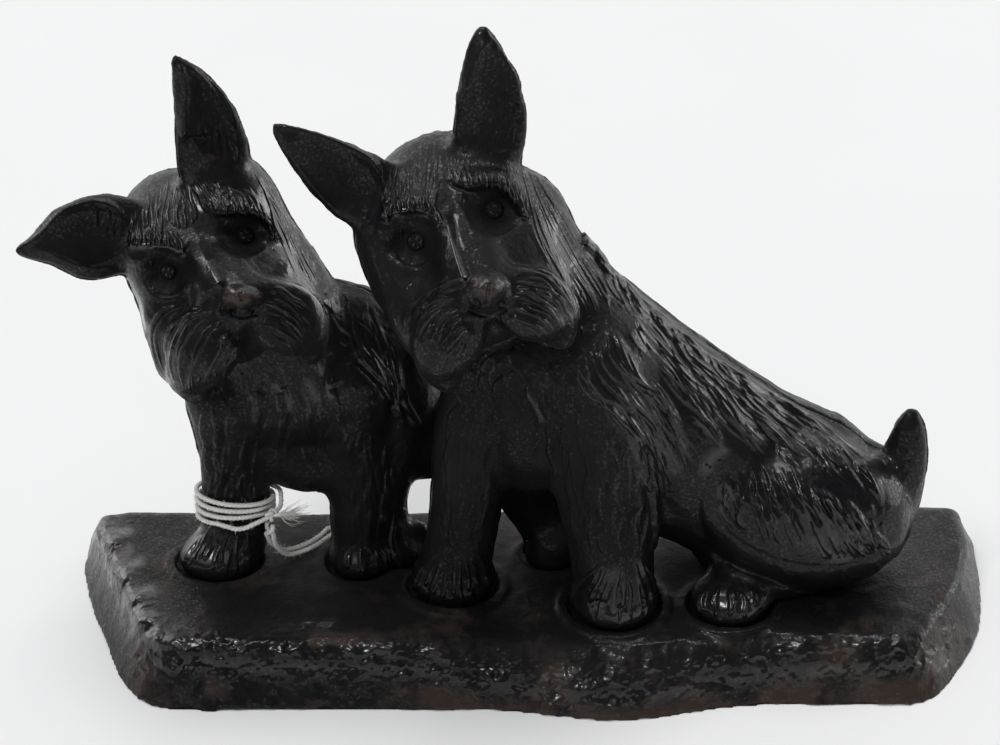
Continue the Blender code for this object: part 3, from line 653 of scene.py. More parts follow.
class Relief:
    """Shapes and locks of fur, in mm, on the part of a skin that the camera sees within an outline."""

    def __init__(self, casting, outline, soft, keep=None, behind=False):
        self.casting = casting
        u, v = casting.pixels.T
        chosen = (casting.near if behind else casting.seen) & in_outline(u, v, outline)
        if keep is not None:
            chosen &= keep(casting.places)
        self.rows = np.nonzero(chosen)[0]
        self.u, self.v = u[self.rows], v[self.rows]
        gap = straight_gap(self.u, self.v, outline + outline[:1])
        self.edge = smoothstep(0, soft, gap) if soft else np.ones(len(self.rows))
        self.height = np.zeros(len(self.rows))
        self.raised = np.zeros(len(self.rows))
        self.cut = np.zeros(len(self.rows))

    def relax(self, rounds, share):
        """Evens out how far the skin is from the camera, by a share at each corner."""
        casting = self.casting
        local = np.full(len(casting.places), -1)
        local[self.rows] = np.arange(len(self.rows))
        ends = local[casting.edges()]
        a, b = both_ways(ends[(ends >= 0).all(axis=1)])
        count = np.bincount(a, minlength=len(self.rows))
        start = casting.range[self.rows] - self.height
        value = start.copy()
        pull = 0.6 * (self.edge * share)
        for _ in range(rounds):
            mean = np.bincount(a, weights=value[b], minlength=len(value)) / np.maximum(count, 1)
            value = np.where(count >= 3, value + pull * (mean - value), value)
        self.height += start - value

    def out_of(self, centre, radii, turn=0.0):
        """How far the skin is from a centre, where 1 is the edge of an oval of two radii."""
        c, s = math.cos(math.radians(turn)), math.sin(math.radians(turn))
        x, y = self.u - centre[0], self.v - centre[1]
        return np.hypot((x * c + y * s) / radii[0], (-x * s + y * c) / radii[1])

    def swell(self, centre, radii, height, turn=0.0, power=2.0):
        """A smooth mound, or a hollow where height is less than 0."""
        r = self.out_of(centre, radii, turn)
        self.height += height * np.clip(1 - r**2, 0, 1) ** power * self.edge

    def crest(self, curve, left, right, height, ends):
        """A ridge, or a groove, that falls off over left pixels on one side and right on the other."""
        gap, spot = along_curve(self.u, self.v, curve)
        width = np.where(gap < 0, left, right)
        fade = smoothstep(0, ends[0] + 1e-6, spot) * (1 - smoothstep(1 - ends[1] - 1e-6, 1, spot))
        self.height += height * np.exp(-((gap / width) ** 2)) * fade * self.edge

    def lock(self, path, width, height, lean=0.0, taper=(0.2, 0.4), pile=False, shine=0.0):
        """A lock of fur or a groove along a path of pixels, with its crest off to one side by lean."""
        low, high = path.min(axis=0) - width, path.max(axis=0) + width
        near = np.nonzero((self.u > low[0]) & (self.u < high[0]) & (self.v > low[1]) & (self.v < high[1]))[0]
        if not len(near):
            return
        gap, spot = signed_gap(self.u[near], self.v[near], path)
        fade = smoothstep(0, taper[0] + 1e-6, spot) * (1 - smoothstep(1 - taper[1] - 1e-6, 1, spot))
        side = gap / (width * (0.4 + 0.6 * fade))
        if lean:
            rise = np.where(side < lean, (side + 1) / (1 + lean), (1 - side) / (1 - lean))
            shape = smoothstep(0, 1, rise)
        else:
            shape = np.clip(1 - side**2, 0, 1) ** 2
        value = abs(height) * shape * fade**0.6 * self.edge[near]
        mine = self.raised if height > 0 else self.cut
        mine[near] = mine[near] + value if pile else np.maximum(mine[near], value)
        if shine:
            self.brush("gloss", shine * np.exp(-(((side - lean) / CREST_SHINE) ** 2)) * fade, self.rows[near])

    def locks(
        self, guides, count, width, height, lean=0.0, jitter=0.3, taper=(0.2, 0.4), wave=1.0, ends=0.12,
        shine=0.0,
    ):
        """A family of locks between guide curves, whose ends are drawn back by up to a share."""
        steps = 24
        curves = np.array([curve_through(guide, steps) for guide in guides])
        for spot in np.linspace(0, len(curves) - 1, count):
            spot += rng.uniform(-jitter, jitter) * (len(curves) - 1) / (count - 1)
            path = among(curves, min(max(spot, 0.0), len(curves) - 1))
            first, last = rng.uniform(0, ends), 1 - rng.uniform(0, ends)
            start = int(first * steps)
            path = waved(path[start : max(int(last * steps), start + 6)], wave, 5, 10)
            broad, tall = width * rng.uniform(0.8, 1.2), height * rng.uniform(0.7, 1.2)
            self.lock(path, broad, tall, lean, taper, shine=shine * rng.uniform(0.3, 1.0))

    def tufts(self, guides, count, long, width, height, lean=0.0, wave=0.5, shine=0.0):
        """Short locks strewn evenly between guide curves, each along its neighbours' run and over them."""
        steps = 48
        curves = np.array([curve_through(guide, steps) for guide in guides])
        whole = np.linalg.norm(np.diff(curves, axis=1), axis=2).sum(axis=1).mean()
        for k in range(count):
            spot = (k * EVEN_ACROSS + rng.uniform(-0.03, 0.03)) % 1.0 * (len(curves) - 1)
            share = min(long * rng.uniform(0.6, 1.35) / whole, 1.0)
            first = ((k * EVEN_ALONG + rng.uniform(-0.04, 0.04)) % 1.0) * (1.0 - 0.6 * share)
            start, end = int(first * steps), int(min(first + share, 1.0) * steps)
            if end - start < 5:
                continue
            path = waved(among(curves, spot)[start:end], wave, 4, 9, (end - start) / 24)
            broad, tall = width * rng.uniform(0.7, 1.25), height * rng.uniform(0.6, 1.2)
            shining = shine * rng.uniform(0.2, 1.0)
            self.lock(path, broad, tall, lean, TUFT_TAPER, pile=True, shine=shining)

    def dabs(self, count, run, width, height, lean=0.0, slope=(1.0, 1.0), turn=25):
        """Short locks of length run, along slope, strewn over the outline."""
        left, right = self.u.min(), self.u.max()
        top, bottom = self.v.min(), self.v.max()
        for _ in range(count):
            middle = np.array([rng.uniform(left, right), rng.uniform(top, bottom)])
            angle = math.atan2(slope[1], slope[0]) + math.radians(rng.uniform(-turn, turn))
            long = run * rng.uniform(0.6, 1.4)
            bend = rng.uniform(-0.25, 0.25) * long
            c, s = math.cos(angle), math.sin(angle)
            t = np.linspace(-0.5, 0.5, 9)[:, None]
            path = middle + t * long * np.array([c, s]) + (0.25 - t**2) * bend * np.array([-s, c])
            self.lock(path, width * rng.uniform(0.7, 1.3), height * rng.uniform(0.5, 1.2), lean)

    def brush(self, layer, values, rows=None):
        """Lays paint where there is less of it."""
        rows = self.rows if rows is None else rows
        mine = self.casting.paint[layer]
        mine[rows] = np.maximum(mine[rows], values)

    def tint(self, layer, centre, radii, value, turn=0.0):
        self.brush(layer, value * np.exp(-(self.out_of(centre, radii, turn) ** 2)))

    def tint_along(self, layer, curve, width, value):
        self.brush(layer, value * np.exp(-((along_curve(self.u, self.v, curve)[0] / width) ** 2)))

    def apply(self):
        """Moves the skin: shapes go towards the camera, and locks along its normals."""
        self.casting.places[self.rows] += (
            self.casting.sights[self.rows] * self.height[:, None]
            + self.casting.normals[self.rows] * (self.raised - self.cut)[:, None]
        )
        self.height[:] = self.raised[:] = self.cut[:] = 0
        self.casting.turn()


# where a ball shines, from its middle and in its radii, with the size of the spot
BALL_GLINTS = [
    (-0.85, -0.4, 0.3), (0.1, -0.5, 0.24), (0.75, 0.0, 0.2), (-0.3, 0.45, 0.24), (0.35, 0.75, 0.16),
]
# how high the ball and its glints stand, in mm, and how wide the ball is for its size
BALL_HEIGHT, GLINT_HEIGHT, BALL_REACH = 1.6, 0.3, 1.15
# the socket's hollow and its painted shade, in its radii, and how dark that shade is
SOCKET_REACH, SHADE_REACH, SOCKET_SHADE = 1.3, 0.66, 0.8


def eye(relief, centre, size, socket, depth):
    """A small eyeball with glints, in a socket; painted shade darkens both, but not the glints."""
    relief.swell(centre, (SOCKET_REACH * socket[0], SOCKET_REACH * socket[1]), -depth)
    x, y = (relief.u - centre[0]) / size, (relief.v - centre[1]) / size
    relief.height += BALL_HEIGHT * np.sqrt(np.clip(1 - (np.hypot(x, y) / BALL_REACH) ** 2, 0, 1))
    shine = np.zeros(len(x))
    for across, down, spot in BALL_GLINTS:
        near = np.exp(-(((x - across) ** 2 + (y - down) ** 2) / spot**2))
        shine = np.maximum(shine, near)
        relief.height += GLINT_HEIGHT * near
    # painted shade over the socket and the ball, as duller paint, and gloss on the glints
    shade = SOCKET_SHADE * np.exp(-((relief.out_of(centre, socket) / SHADE_REACH) ** 2))
    relief.brush("dull_and_shade", shade * (1 - shine))
    relief.brush("gloss", shine)


# Materials


def shader_of(name):
    made = bpy.data.materials.new(name)
    made.use_nodes = True
    return made, made.node_tree.nodes["Principled BSDF"]


def node(tree, kind, **values):
    made = tree.nodes.new(kind)
    for key, value in values.items():
        setattr(made, key, value)
    return made


def noise_node(tree, scale, detail, roughness=0.55):
    place = tree.nodes.get("place")
    if place is None:
        place = node(tree, "ShaderNodeTexCoord", name="place")
    made = node(tree, "ShaderNodeTexNoise")
    made.inputs["Scale"].default_value = scale
    made.inputs["Detail"].default_value = detail
    made.inputs["Roughness"].default_value = roughness
    tree.links.new(place.outputs["Object"], made.inputs["Vector"])
    return made.outputs["Fac"]


def feed(tree, source, socket):
    """Joins a socket to another node's output, or sets it to a number or a colour."""
    if isinstance(source, tuple):
        socket.default_value = (*source, 1.0)
    elif isinstance(source, (int, float)):
        socket.default_value = source
    else:
        tree.links.new(source, socket)


def ramp(tree, source, stops):
    """A ramp over stops of a position and a colour, or of a position and a grey."""
    made = node(tree, "ShaderNodeValToRGB")
    while len(made.color_ramp.elements) < len(stops):
        made.color_ramp.elements.new(0.5)
    for element, (place, colour) in zip(made.color_ramp.elements, stops):
        element.position = place
        element.color = (*colour, 1.0) if isinstance(colour, tuple) else (colour, colour, colour, 1.0)
    tree.links.new(source, made.inputs["Fac"])
    return made.outputs["Color"]


def mixed(tree, share, first, second, blend="MIX"):
    made = node(tree, "ShaderNodeMix", data_type="RGBA", blend_type=blend)
    feed(tree, share, made.inputs["Factor"])
    feed(tree, first, made.inputs["A"])
    feed(tree, second, made.inputs["B"])
    return made.outputs["Result"]


def arithmetic(tree, kind, first, second, clamp=False):
    made = node(tree, "ShaderNodeMath", operation=kind, use_clamp=clamp)
    feed(tree, first, made.inputs[0])
    feed(tree, second, made.inputs[1])
    return made.outputs[0]


def scaled(tree, source, share):
    return arithmetic(tree, "MULTIPLY", source, share)


def layer_value(tree, name):
    made = node(tree, "ShaderNodeAttribute", attribute_name=name)
    return made.outputs["Fac"]


def bumps(tree, shader, rows):
    """Bumps of (height source, strength, distance in metres), each on the one before."""
    last = None
    for source, strength, distance in rows:
        made = node(tree, "ShaderNodeBump")
        made.inputs["Strength"].default_value = strength
        made.inputs["Distance"].default_value = distance
        tree.links.new(source, made.inputs["Height"])
        if last is not None:
            tree.links.new(last, made.inputs["Normal"])
        last = made.outputs["Normal"]
    tree.links.new(last, shader.inputs["Normal"])


BLACK = (0.0046, 0.0045, 0.0054)
DUSTY = (0.0105, 0.0102, 0.0112)
BROWN = (0.034, 0.024, 0.020)


def painted_iron(name, rust):
    """Worn gloss black paint on cast iron, with brown where the paint has rubbed thin, and painted shade as
    duller paint.
    """
    made, shader = shader_of(name)
    tree = made.node_tree
    gloss, dull_and_shade = layer_value(tree, "gloss"), layer_value(tree, "dull_and_shade")
    rubbed = scaled(tree, layer_value(tree, "rust"), 0.42)
    bare = arithmetic(tree, "ADD", noise_node(tree, 85.0, 6.0, 0.65), rubbed)
    patches = ramp(tree, bare, [(0.66 - rust, 0.0), (0.82 - rust, 1.0)])
    dust = ramp(tree, noise_node(tree, 38.0, 5.0, 0.6), [(0.42, 0.0), (0.72, 1.0)])
    feed(tree, mixed(tree, patches, mixed(tree, dust, BLACK, DUSTY), BROWN), shader.inputs["Base Color"])
    satin = ramp(tree, noise_node(tree, 240.0, 4.0), [(0.3, 0.33), (0.7, 0.46)])
    polished = arithmetic(tree, "SUBTRACT", satin, scaled(tree, gloss, 0.1))
    # painted shade: where that layer lies, the paint is rougher and loses its coat, so it shows duller and
    # darker
    rough = arithmetic(tree, "ADD", polished, scaled(tree, dull_and_shade, 0.35), clamp=True)
    feed(tree, rough, shader.inputs["Roughness"])
    feed(tree, 0.12, shader.inputs["Specular IOR Level"])
    flakes = ramp(tree, noise_node(tree, 1500.0, 3.0, 0.6), [(0.52, 0.08), (0.66, 0.6)])
    whole = arithmetic(tree, "ADD", flakes, scaled(tree, gloss, 0.85))
    coat = arithmetic(tree, "SUBTRACT", whole, scaled(tree, dull_and_shade, 0.8), clamp=True)
    feed(tree, coat, shader.inputs["Coat Weight"])
    feed(tree, 0.12, shader.inputs["Coat Roughness"])
    grain, pores = noise_node(tree, 950.0, 4.0, 0.6), noise_node(tree, 2900.0, 3.0, 0.6)
    bumps(tree, shader, [(grain, 0.42, 0.0005), (pores, 0.6, 0.0001)])
    return made


def aged_steel():
    made, shader = shader_of("aged_steel")
    tree = made.node_tree
    tone = ramp(tree, noise_node(tree, 500.0, 5.0), [(0.35, (0.10, 0.085, 0.075)), (0.7, (0.30, 0.28, 0.26))])
    feed(tree, tone, shader.inputs["Base Color"])
    feed(tree, 1.0, shader.inputs["Metallic"])
    rough = ramp(tree, noise_node(tree, 900.0, 3.0), [(0.3, 0.35), (0.7, 0.6)])
    feed(tree, rough, shader.inputs["Roughness"])
    bumps(tree, shader, [(noise_node(tree, 1500.0, 3.0), 0.3, 0.0001)])
    return made


def cotton():
    made, shader = shader_of("cotton")
    tree = made.node_tree
    tone = ramp(tree, noise_node(tree, 1800.0, 4.0), [(0.3, (0.62, 0.61, 0.58)), (0.6, (0.82, 0.815, 0.79))])
    feed(tree, tone, shader.inputs["Base Color"])
    feed(tree, 0.9, shader.inputs["Roughness"])
    feed(tree, 0.3, shader.inputs["Sheen Weight"])
    feed(tree, 0.5, shader.inputs["Sheen Roughness"])
    bumps(tree, shader, [(noise_node(tree, 5200.0, 3.0), 0.5, 0.0001)])
    return made


# Light and floor

# soft windows that only show in the gloss, as a direction and how bright
WINDOWS = [((0.93, 0.36, 0.08), 3.6), ((-0.75, 0.50, 0.43), 2.2), ((-0.45, -0.55, 0.70), 1.2)]
# what the gloss mirrors besides them, from the front of the room to its back
BACKDROP = [
    (0.0, (0.05, 0.05, 0.053)), (0.25, (0.3, 0.3, 0.306)), (0.45, (1.0, 1.0, 1.02)),
    (0.7, (1.15, 1.15, 1.17)),
]


def window_glow(tree, direction, towards, shade):
    facing = node(tree, "ShaderNodeVectorMath", operation="DOT_PRODUCT")
    tree.links.new(direction, facing.inputs[0])
    facing.inputs[1].default_value = Vector(towards).normalized()
    return ramp(tree, facing.outputs["Value"], [(0.90, 0.0), (0.975, shade)])


def background(tree, colour, strength=1.0):
    made = node(tree, "ShaderNodeBackground")
    feed(tree, colour, made.inputs["Color"])
    feed(tree, strength, made.inputs["Strength"])
    return made.outputs[0]


def either(tree, share, first, second):
    made = node(tree, "ShaderNodeMixShader")
    for source, socket in zip((share, first, second), made.inputs):
        tree.links.new(source, socket)
    return made.outputs[0]


def make_world():
    """A white studio: plain light, a backdrop that the camera sees and windows that the gloss shows."""
    world = bpy.data.worlds.new("studio")
    world.use_nodes = True
    bpy.context.scene.world = world
    tree = world.node_tree
    tree.nodes.clear()
    direction = node(tree, "ShaderNodeTexCoord").outputs["Generated"]
    parts = node(tree, "ShaderNodeSeparateXYZ")
    tree.links.new(direction, parts.inputs["Vector"])
    bright = ramp(tree, parts.outputs["Y"], BACKDROP)
    for towards, shade in WINDOWS:
        bright = mixed(tree, 1.0, bright, window_glow(tree, direction, towards, shade), "ADD")
    path = node(tree, "ShaderNodeLightPath")
    plain, mirrored = background(tree, (0.97, 0.98, 1.0), 0.405), background(tree, bright)
    lit = either(tree, path.outputs["Is Glossy Ray"], plain, mirrored)
    seen = either(tree, path.outputs["Is Camera Ray"], lit, background(tree, (0.905, 0.905, 0.905)))
    out = node(tree, "ShaderNodeOutputWorld")
    tree.links.new(seen, out.inputs["Surface"])


def sun(name, direction, strength, spread):
    data = bpy.data.lights.new(name, "SUN")
    data.energy = strength
    data.angle = math.radians(spread)
    lamp = bpy.data.objects.new(name, data)
    bpy.context.scene.collection.objects.link(lamp)
    lamp.rotation_euler = (-Vector(direction)).to_track_quat("-Z", "Y").to_euler()


def make_floor():
    shape = bmesh.new()
    bmesh.ops.create_grid(shape, x_segments=1, y_segments=1, size=3.0)
    mesh = bpy.data.meshes.new("floor")
    shape.to_mesh(mesh)
    shape.free()
    floor = link("floor", mesh)
    made, shader = shader_of("paper")
    tree = made.node_tree
    tone = ramp(tree, noise_node(tree, 9.0, 2.0), [(0.3, 0.885), (0.7, 0.9)])
    feed(tree, tone, shader.inputs["Base Color"])
    feed(tree, 0.9, shader.inputs["Roughness"])
    feed(tree, 0.1, shader.inputs["Specular IOR Level"])
    mesh.materials.append(made)


bpy.context.scene.view_settings.view_transform = "Standard"
make_camera()
string_pieces = make_string()
make_world()
make_floor()
sun("overhead", (0.0, 0.1, 1.0), 1.35, 32)
sun("front_left", (-0.35, -0.6, 0.85), 0.8, 14)

iron = painted_iron("black_paint", 0.0)
rusty_iron = painted_iron("black_paint_worn", 0.12)


# Sitting dog

SITTING_FACE = [
    (384, 170), (404, 152), (440, 138), (470, 150), (520, 152), (536, 186), (556, 222), (580, 262),
    (590, 300), (584, 340), (570, 358), (546, 352), (520, 336), (498, 324), (480, 328), (470, 352),
    (459, 386), (436, 378), (408, 346), (396, 300), (384, 262), (376, 222),
]
SITTING_HEAD = [
    (362, 196), (366, 160), (390, 146), (420, 128), (446, 122), (452, 104), (526, 104), (540, 150),
    (572, 206), (592, 246), (608, 290), (614, 330), (602, 366), (575, 356), (548, 356), (520, 336),
    (498, 324), (480, 328), (470, 352), (459, 386), (436, 378), (404, 346), (390, 300), (376, 262),
    (368, 222),
]
SITTING_LIPS = [
    [(489, 323), (508, 325), (532, 339), (556, 356), (572, 356)],
    [(480, 325), (471, 343), (462, 369), (452, 384), (430, 372)],
]
SITTING_EYES = [((494.6, 209.5), 8.0, (30, 24), 3.0), ((415.4, 242.0), 8.0, (27, 25), 2.8)]
# shapes of a face, as a curve, how far it falls off on its left and right, its height and its soft ends
SITTING_FACE_CRESTS = [
    ([(444, 210), (449, 236), (456, 262), (465, 288)], 6.0, 40.0, 2.6, (0.2, 0.15)),
    (
        [(446, 174), (456, 182), (472, 186), (488, 184), (503, 188), (513, 198), (526, 220)],
        15.0, 4.0, 1.5, (0.15, 0.1),
    ),
    ([(383, 224), (391, 212), (404, 210), (418, 209), (431, 214), (442, 226)], 14.0, 4.0, 1.4, (0.1, 0.12)),
    (
        [(461, 192), (464, 212), (471, 226), (482, 234), (496, 236.5), (510, 232), (519, 224)],
        2.5, 6.0, 0.6, (0.1, 0.2),
    ),
    ([(391, 250), (400, 263), (414, 268), (430, 263), (439, 250)], 2.5, 6.0, 0.5, (0.15, 0.15)),
    ([(489, 282), (488, 292), (486, 306)], 2.0, 2.0, -0.6, (0.1, 0.1)),
    ([(473, 299), (479, 304), (476, 309)], 2.0, 2.0, -0.8, (0.1, 0.1)),
    ([(505, 301), (499, 305), (502, 309)], 2.0, 2.0, -0.8, (0.1, 0.1)),
    ([(466, 308), (486, 315), (508, 309)], 4.0, 3.0, -1.1, (0.1, 0.1)),
    ([(506, 314), (522, 320), (538, 330), (554, 344)], 14.0, 6.0, 0.9, (0.2, 0.2)),
    ([(470, 326), (456, 343), (446, 362)], 9.0, 10.0, 0.8, (0.2, 0.2)),
]
# mounds and hollows of a face, as a centre, two radii, a height, a turn and how peaked it is
SITTING_FACE_SWELLS = [
    ((508, 266), (56, 52), 1.2, 0, 2.0), ((424, 270), (24, 40), -1.9, 20, 2.0),
    ((487, 290), (25, 20), 2.6, -8, 1.2), ((478, 287), (10, 10), 0.7, 0, 2.0),
    ((497, 291), (11, 10), 0.7, 0, 2.0), ((470, 226), (14, 24), 0.7, 10, 2.0),
]
SITTING_BROWS = [
    [
        [(388, 168), (386, 188), (385, 216)], [(408, 152), (403, 180), (400, 208)],
        [(428, 142), (421, 175), (416, 207)], [(442, 138), (438, 175), (434, 214)],
    ],
    [
        [(444, 150), (446, 166), (450, 186)], [(462, 152), (464, 168), (466, 190)],
        [(484, 156), (486, 170), (486, 190)], [(504, 156), (508, 174), (512, 200)],
        [(516, 160), (524, 186), (528, 222)],
    ],
]
SITTING_FRINGES = [
    [
        [(384, 204), (384, 221)], [(396, 194), (396, 213)], [(410, 190), (411, 212)],
        [(424, 194), (427, 214)], [(434, 200), (441, 226)],
    ],
    [
        [(448, 164), (452, 183)], [(462, 166), (465, 190)], [(480, 166), (483, 190)],
        [(498, 168), (502, 193)], [(508, 176), (516, 207)], [(516, 186), (528, 223)],
    ],
]
SITTING_SIDE_OF_HEAD = [
    [(514, 150), (526, 196), (540, 246), (562, 292), (578, 334)],
    [(520, 150), (538, 200), (566, 258), (590, 303), (598, 340)],
    [(524, 152), (552, 210), (586, 264), (610, 308), (622, 345)],
    [(528, 160), (566, 216), (604, 270), (632, 306), (650, 340)],
]
SITTING_MOUSTACHES = [
    [
        [(507, 276), (521, 268), (538, 268), (556, 276), (570, 292), (580, 316), (584, 340)],
        [(508, 282), (521, 276), (537, 277), (550, 283), (562, 296), (571, 313), (576, 332)],
        [(508, 292), (521, 288), (535, 291), (550, 298), (562, 310), (568, 324), (570, 338)],
        [(508, 299), (521, 298), (535, 302), (550, 310), (560, 322), (564, 334), (566, 344)],
        [(512, 308), (524, 309), (537, 315), (548, 323), (560, 342)],
        [(504, 318), (520, 322), (534, 331), (546, 342), (558, 354)],
    ],
    [
        [(449, 277), (434, 283), (421, 292), (411, 306), (404, 324), (402, 344)],
        [(452, 290), (436, 298), (424, 308), (415, 328), (411, 350)],
        [(456, 304), (440, 310), (430, 322), (422, 336), (420, 352)],
        [(464, 314), (450, 326), (441, 340), (439, 358)],
        [(472, 324), (458, 338), (446, 356), (438, 374)],
        [(478, 328), (468, 346), (458, 366), (450, 384)],
    ],
]
# glints along curves, with how wide and how bright they are
SITTING_GLINTS = [
    ([(384, 220), (396, 213), (411, 211), (427, 214), (440, 226)], 3.0, 0.9),
    ([(450, 184), (466, 190), (486, 190), (503, 194), (517, 208), (527, 222)], 3.0, 0.9),
    ([(447, 231), (451, 244), (456, 258), (459, 268), (464, 279)], 3.5, 1.0),
    ([(456, 214), (457, 226), (459, 239), (462, 246)], 3.0, 0.8),
    ([(552, 230), (566, 262), (576, 300), (578, 326)], 10.0, 0.9),
    ([(510, 293), (530, 291), (551, 303), (562, 320)], 4.0, 0.9),
]
# spots of paint, as a layer, a centre, two radii and how strong; the dull, dark spots on the cheeks are
# painted shade
SITTING_FACE_SPOTS = [
    ("rust", (487, 290), (17, 13), 1.0),
    ("gloss", (484, 285), (13, 8), 0.5),
    ("dull_and_shade", (490, 252), (30, 24), 0.5),
    ("gloss", (552, 244), (16, 26), 0.4),
    ("dull_and_shade", (402, 292), (22, 22), 0.5),
]
# how often a face is evened out, and how much of its shape the lips keep, within how many pixels
FACE_ROUNDS, LIP_SHARE, LIP_REACH = 230, 0.9, 8.0


def relax_face(casting, outline, lips):
    """Evens out the plain CAD face, to which the real one's shapes are added."""
    casting.look()
    face = Relief(casting, outline, 7.0, behind=True)
    gap = np.min([np.abs(along_curve(face.u, face.v, lip)[0]) for lip in lips], axis=0)
    face.relax(FACE_ROUNDS, 1 - LIP_SHARE * np.exp(-((gap / LIP_REACH) ** 2)))
    face.apply()


def paint(skin, glints, spots):
    for glint in glints:
        skin.tint_along("gloss", *glint)
    for spot in spots:
        skin.tint(*spot)


def face_shapes(casting, outline, crests, swells, eyes):
    face = Relief(casting, outline, 5.0)
    for crest in crests:
        face.crest(*crest)
    for swell in swells:
        face.swell(*swell)
    for ball in eyes:
        eye(face, *ball)
    face.apply()


def sitting_face(casting):
    face_shapes(casting, SITTING_FACE, SITTING_FACE_CRESTS, SITTING_FACE_SWELLS, SITTING_EYES)
    fur = Relief(casting, SITTING_HEAD, 3.0)
    for guides, count in zip(SITTING_BROWS, (26, 32)):
        fur.locks(guides, count, 3.0, 0.16, taper=(0.6, 0.1), wave=0.9, ends=0.3)
    for guides, count in zip(SITTING_FRINGES, (15, 22)):
        fur.locks(guides, count, 2.6, 0.6, jitter=0.9, taper=(0.6, 0.08), wave=0.8, ends=0.2, shine=0.9)
    fur.locks(SITTING_SIDE_OF_HEAD, 30, 3.4, 0.34, lean=0.4, taper=(0.25, 0.35), wave=1.4, ends=0.4)
    fur.locks(SITTING_MOUSTACHES[0], 17, 2.8, 0.45, lean=0.4, jitter=0.9, wave=1.2, ends=0.4, shine=1.0)
    fur.locks(SITTING_MOUSTACHES[1], 17, 3.0, 0.5, lean=-0.4, jitter=0.9, wave=1.2, ends=0.4, shine=0.7)
    for guides in SITTING_MOUSTACHES:
        fur.tufts(guides, 26, 18, 2.4, 0.25)
    fur.dabs(60, 9, 2.2, 0.16, slope=(0.4, 1.0))
    paint(fur, SITTING_GLINTS, SITTING_FACE_SPOTS)
    fur.apply()


SITTING_RIGHT_EAR = [
    (481, 22), (470, 34), (461, 56), (456, 86), (453, 128), (470, 150), (500, 154), (526, 150),
    (528, 128), (526, 102), (517, 78), (507, 58), (495, 33),
]
SITTING_LEFT_EAR = [
    (270, 122), (288, 119), (318, 128), (346, 139), (370, 151), (388, 166), (392, 196), (378, 222),
    (356, 240), (338, 221), (320, 203), (304, 179), (287, 157),
]
SITTING_RIGHT_EAR_RIMS = [
    ([(490, 40), (478, 57), (469, 80), (465, 100), (463, 130)], 4.0, 5.0, 0.9, (0.1, 0.3)),
    ([(492, 44), (506, 66), (516, 90), (521, 120)], 3.5, 3.0, 0.5, (0.1, 0.3)),
]
SITTING_LEFT_EAR_RIMS = [
    ([(276, 124), (308, 130), (344, 144), (372, 160), (384, 184)], 3.0, 4.0, 0.9, (0.1, 0.2)),
    ([(286, 150), (303, 174), (322, 198), (352, 230)], 3.0, 3.0, 0.5, (0.1, 0.1)),
]
SITTING_EAR_TUFTS = [
    [[(500, 84), (498, 114), (490, 150)], [(514, 104), (514, 128), (510, 152)]],
    [[(372, 160), (384, 190), (374, 222)], [(356, 152), (364, 190), (356, 226)]],
]
# an ear: its outline, the hollow of its cup, its rims, and the tufts in it with their number
SITTING_EARS = [
    (
        SITTING_RIGHT_EAR, ((499, 100), (24, 62), -1.9, -6, 1.0),
        SITTING_RIGHT_EAR_RIMS, SITTING_EAR_TUFTS[0], 5,
    ),
    (
        SITTING_LEFT_EAR, ((336, 176), (58, 26), -1.9, 42, 1.0),
        SITTING_LEFT_EAR_RIMS, SITTING_EAR_TUFTS[1], 7,
    ),
]
# how much of the cup's hollow gets painted shade, and how dark
CUP_SHARE, CUP_SHADE = 0.55, 0.45


def ear_cup(casting, outline, hollow, rims, tufts, count):
    ear = Relief(casting, outline, 5.0)
    ear.swell(*hollow)
    for rim in rims:
        ear.crest(*rim)
    ear.locks(tufts, count, 3.6, 0.35)
    centre, radii, _, turn, _ = hollow
    # painted shade in the cup's hollow, as duller paint
    ear.tint("dull_and_shade", centre, (CUP_SHARE * radii[0], CUP_SHARE * radii[1]), CUP_SHADE, turn)
    ear.apply()


SITTING_BODY = [
    (527, 150), (566, 206), (610, 262), (660, 306), (712, 352), (768, 382), (830, 418), (872, 440),
    (884, 442), (897, 420), (914, 404), (928, 450), (918, 510), (905, 545), (880, 585), (836, 592),
    (780, 592), (768, 626), (700, 626), (688, 596), (664, 548), (660, 600), (650, 626), (600, 634),
    (566, 622), (560, 560), (548, 500), (520, 486), (500, 500), (500, 600), (478, 614), (410, 606),
    (404, 570), (432, 520), (436, 430), (450, 384), (470, 352), (480, 328), (500, 324), (560, 356),
    (590, 340), (580, 262), (556, 222), (536, 186),
]
HAUNCH_FRONT = [(730, 452), (712, 468), (704, 492), (706, 520), (722, 546), (750, 562)]
HAUNCH_UNDER = [(798, 577), (836, 579), (868, 572), (892, 556), (906, 538)]
# the rounded edge, the groove along it and the flange below it, as shifts of the edge's two parts and then
# as a crest
HAUNCH_RIMS = [
    ((0, 0), (0, 0), 16.0, 5.0, 1.0, (0.3, 0.1)),
    ((-5, 5), (0, 9), 6.0, 8.0, -1.2, (0.2, 0.1)),
    ((-10, 11), (0, 17), 4.0, 5.0, 0.5, (0.3, 0.1)),
]
HAUNCH_INNER = (
    [(734, 470), (722, 486), (722, 514), (740, 536), (780, 556), (836, 562), (876, 552), (896, 536)],
    10.0, 4.0, -0.6, (0.2, 0.2),
)
HAUNCH_SWELL = ((800, 505), (80, 48), 1.0, 12)
SITTING_FOLDS = [
    ([(522, 385), (532, 404), (541, 420), (539, 442), (539, 470)], 9.0, 5.0, -1.0, (0.1, 0.2)),
    ([(486, 400), (494, 430), (500, 470), (500, 500)], 8.0, 8.0, -0.7, (0.2, 0.2)),
    ([(609, 425), (614, 450), (610, 476), (604, 510), (600, 540)], 8.0, 6.0, -0.6, (0.2, 0.2)),
    ([(640, 440), (656, 470), (664, 500), (672, 520)], 9.0, 7.0, -0.9, (0.2, 0.2)),
    ([(470, 390), (458, 430), (448, 480), (446, 520)], 7.0, 7.0, 0.5, (0.2, 0.2)),
]
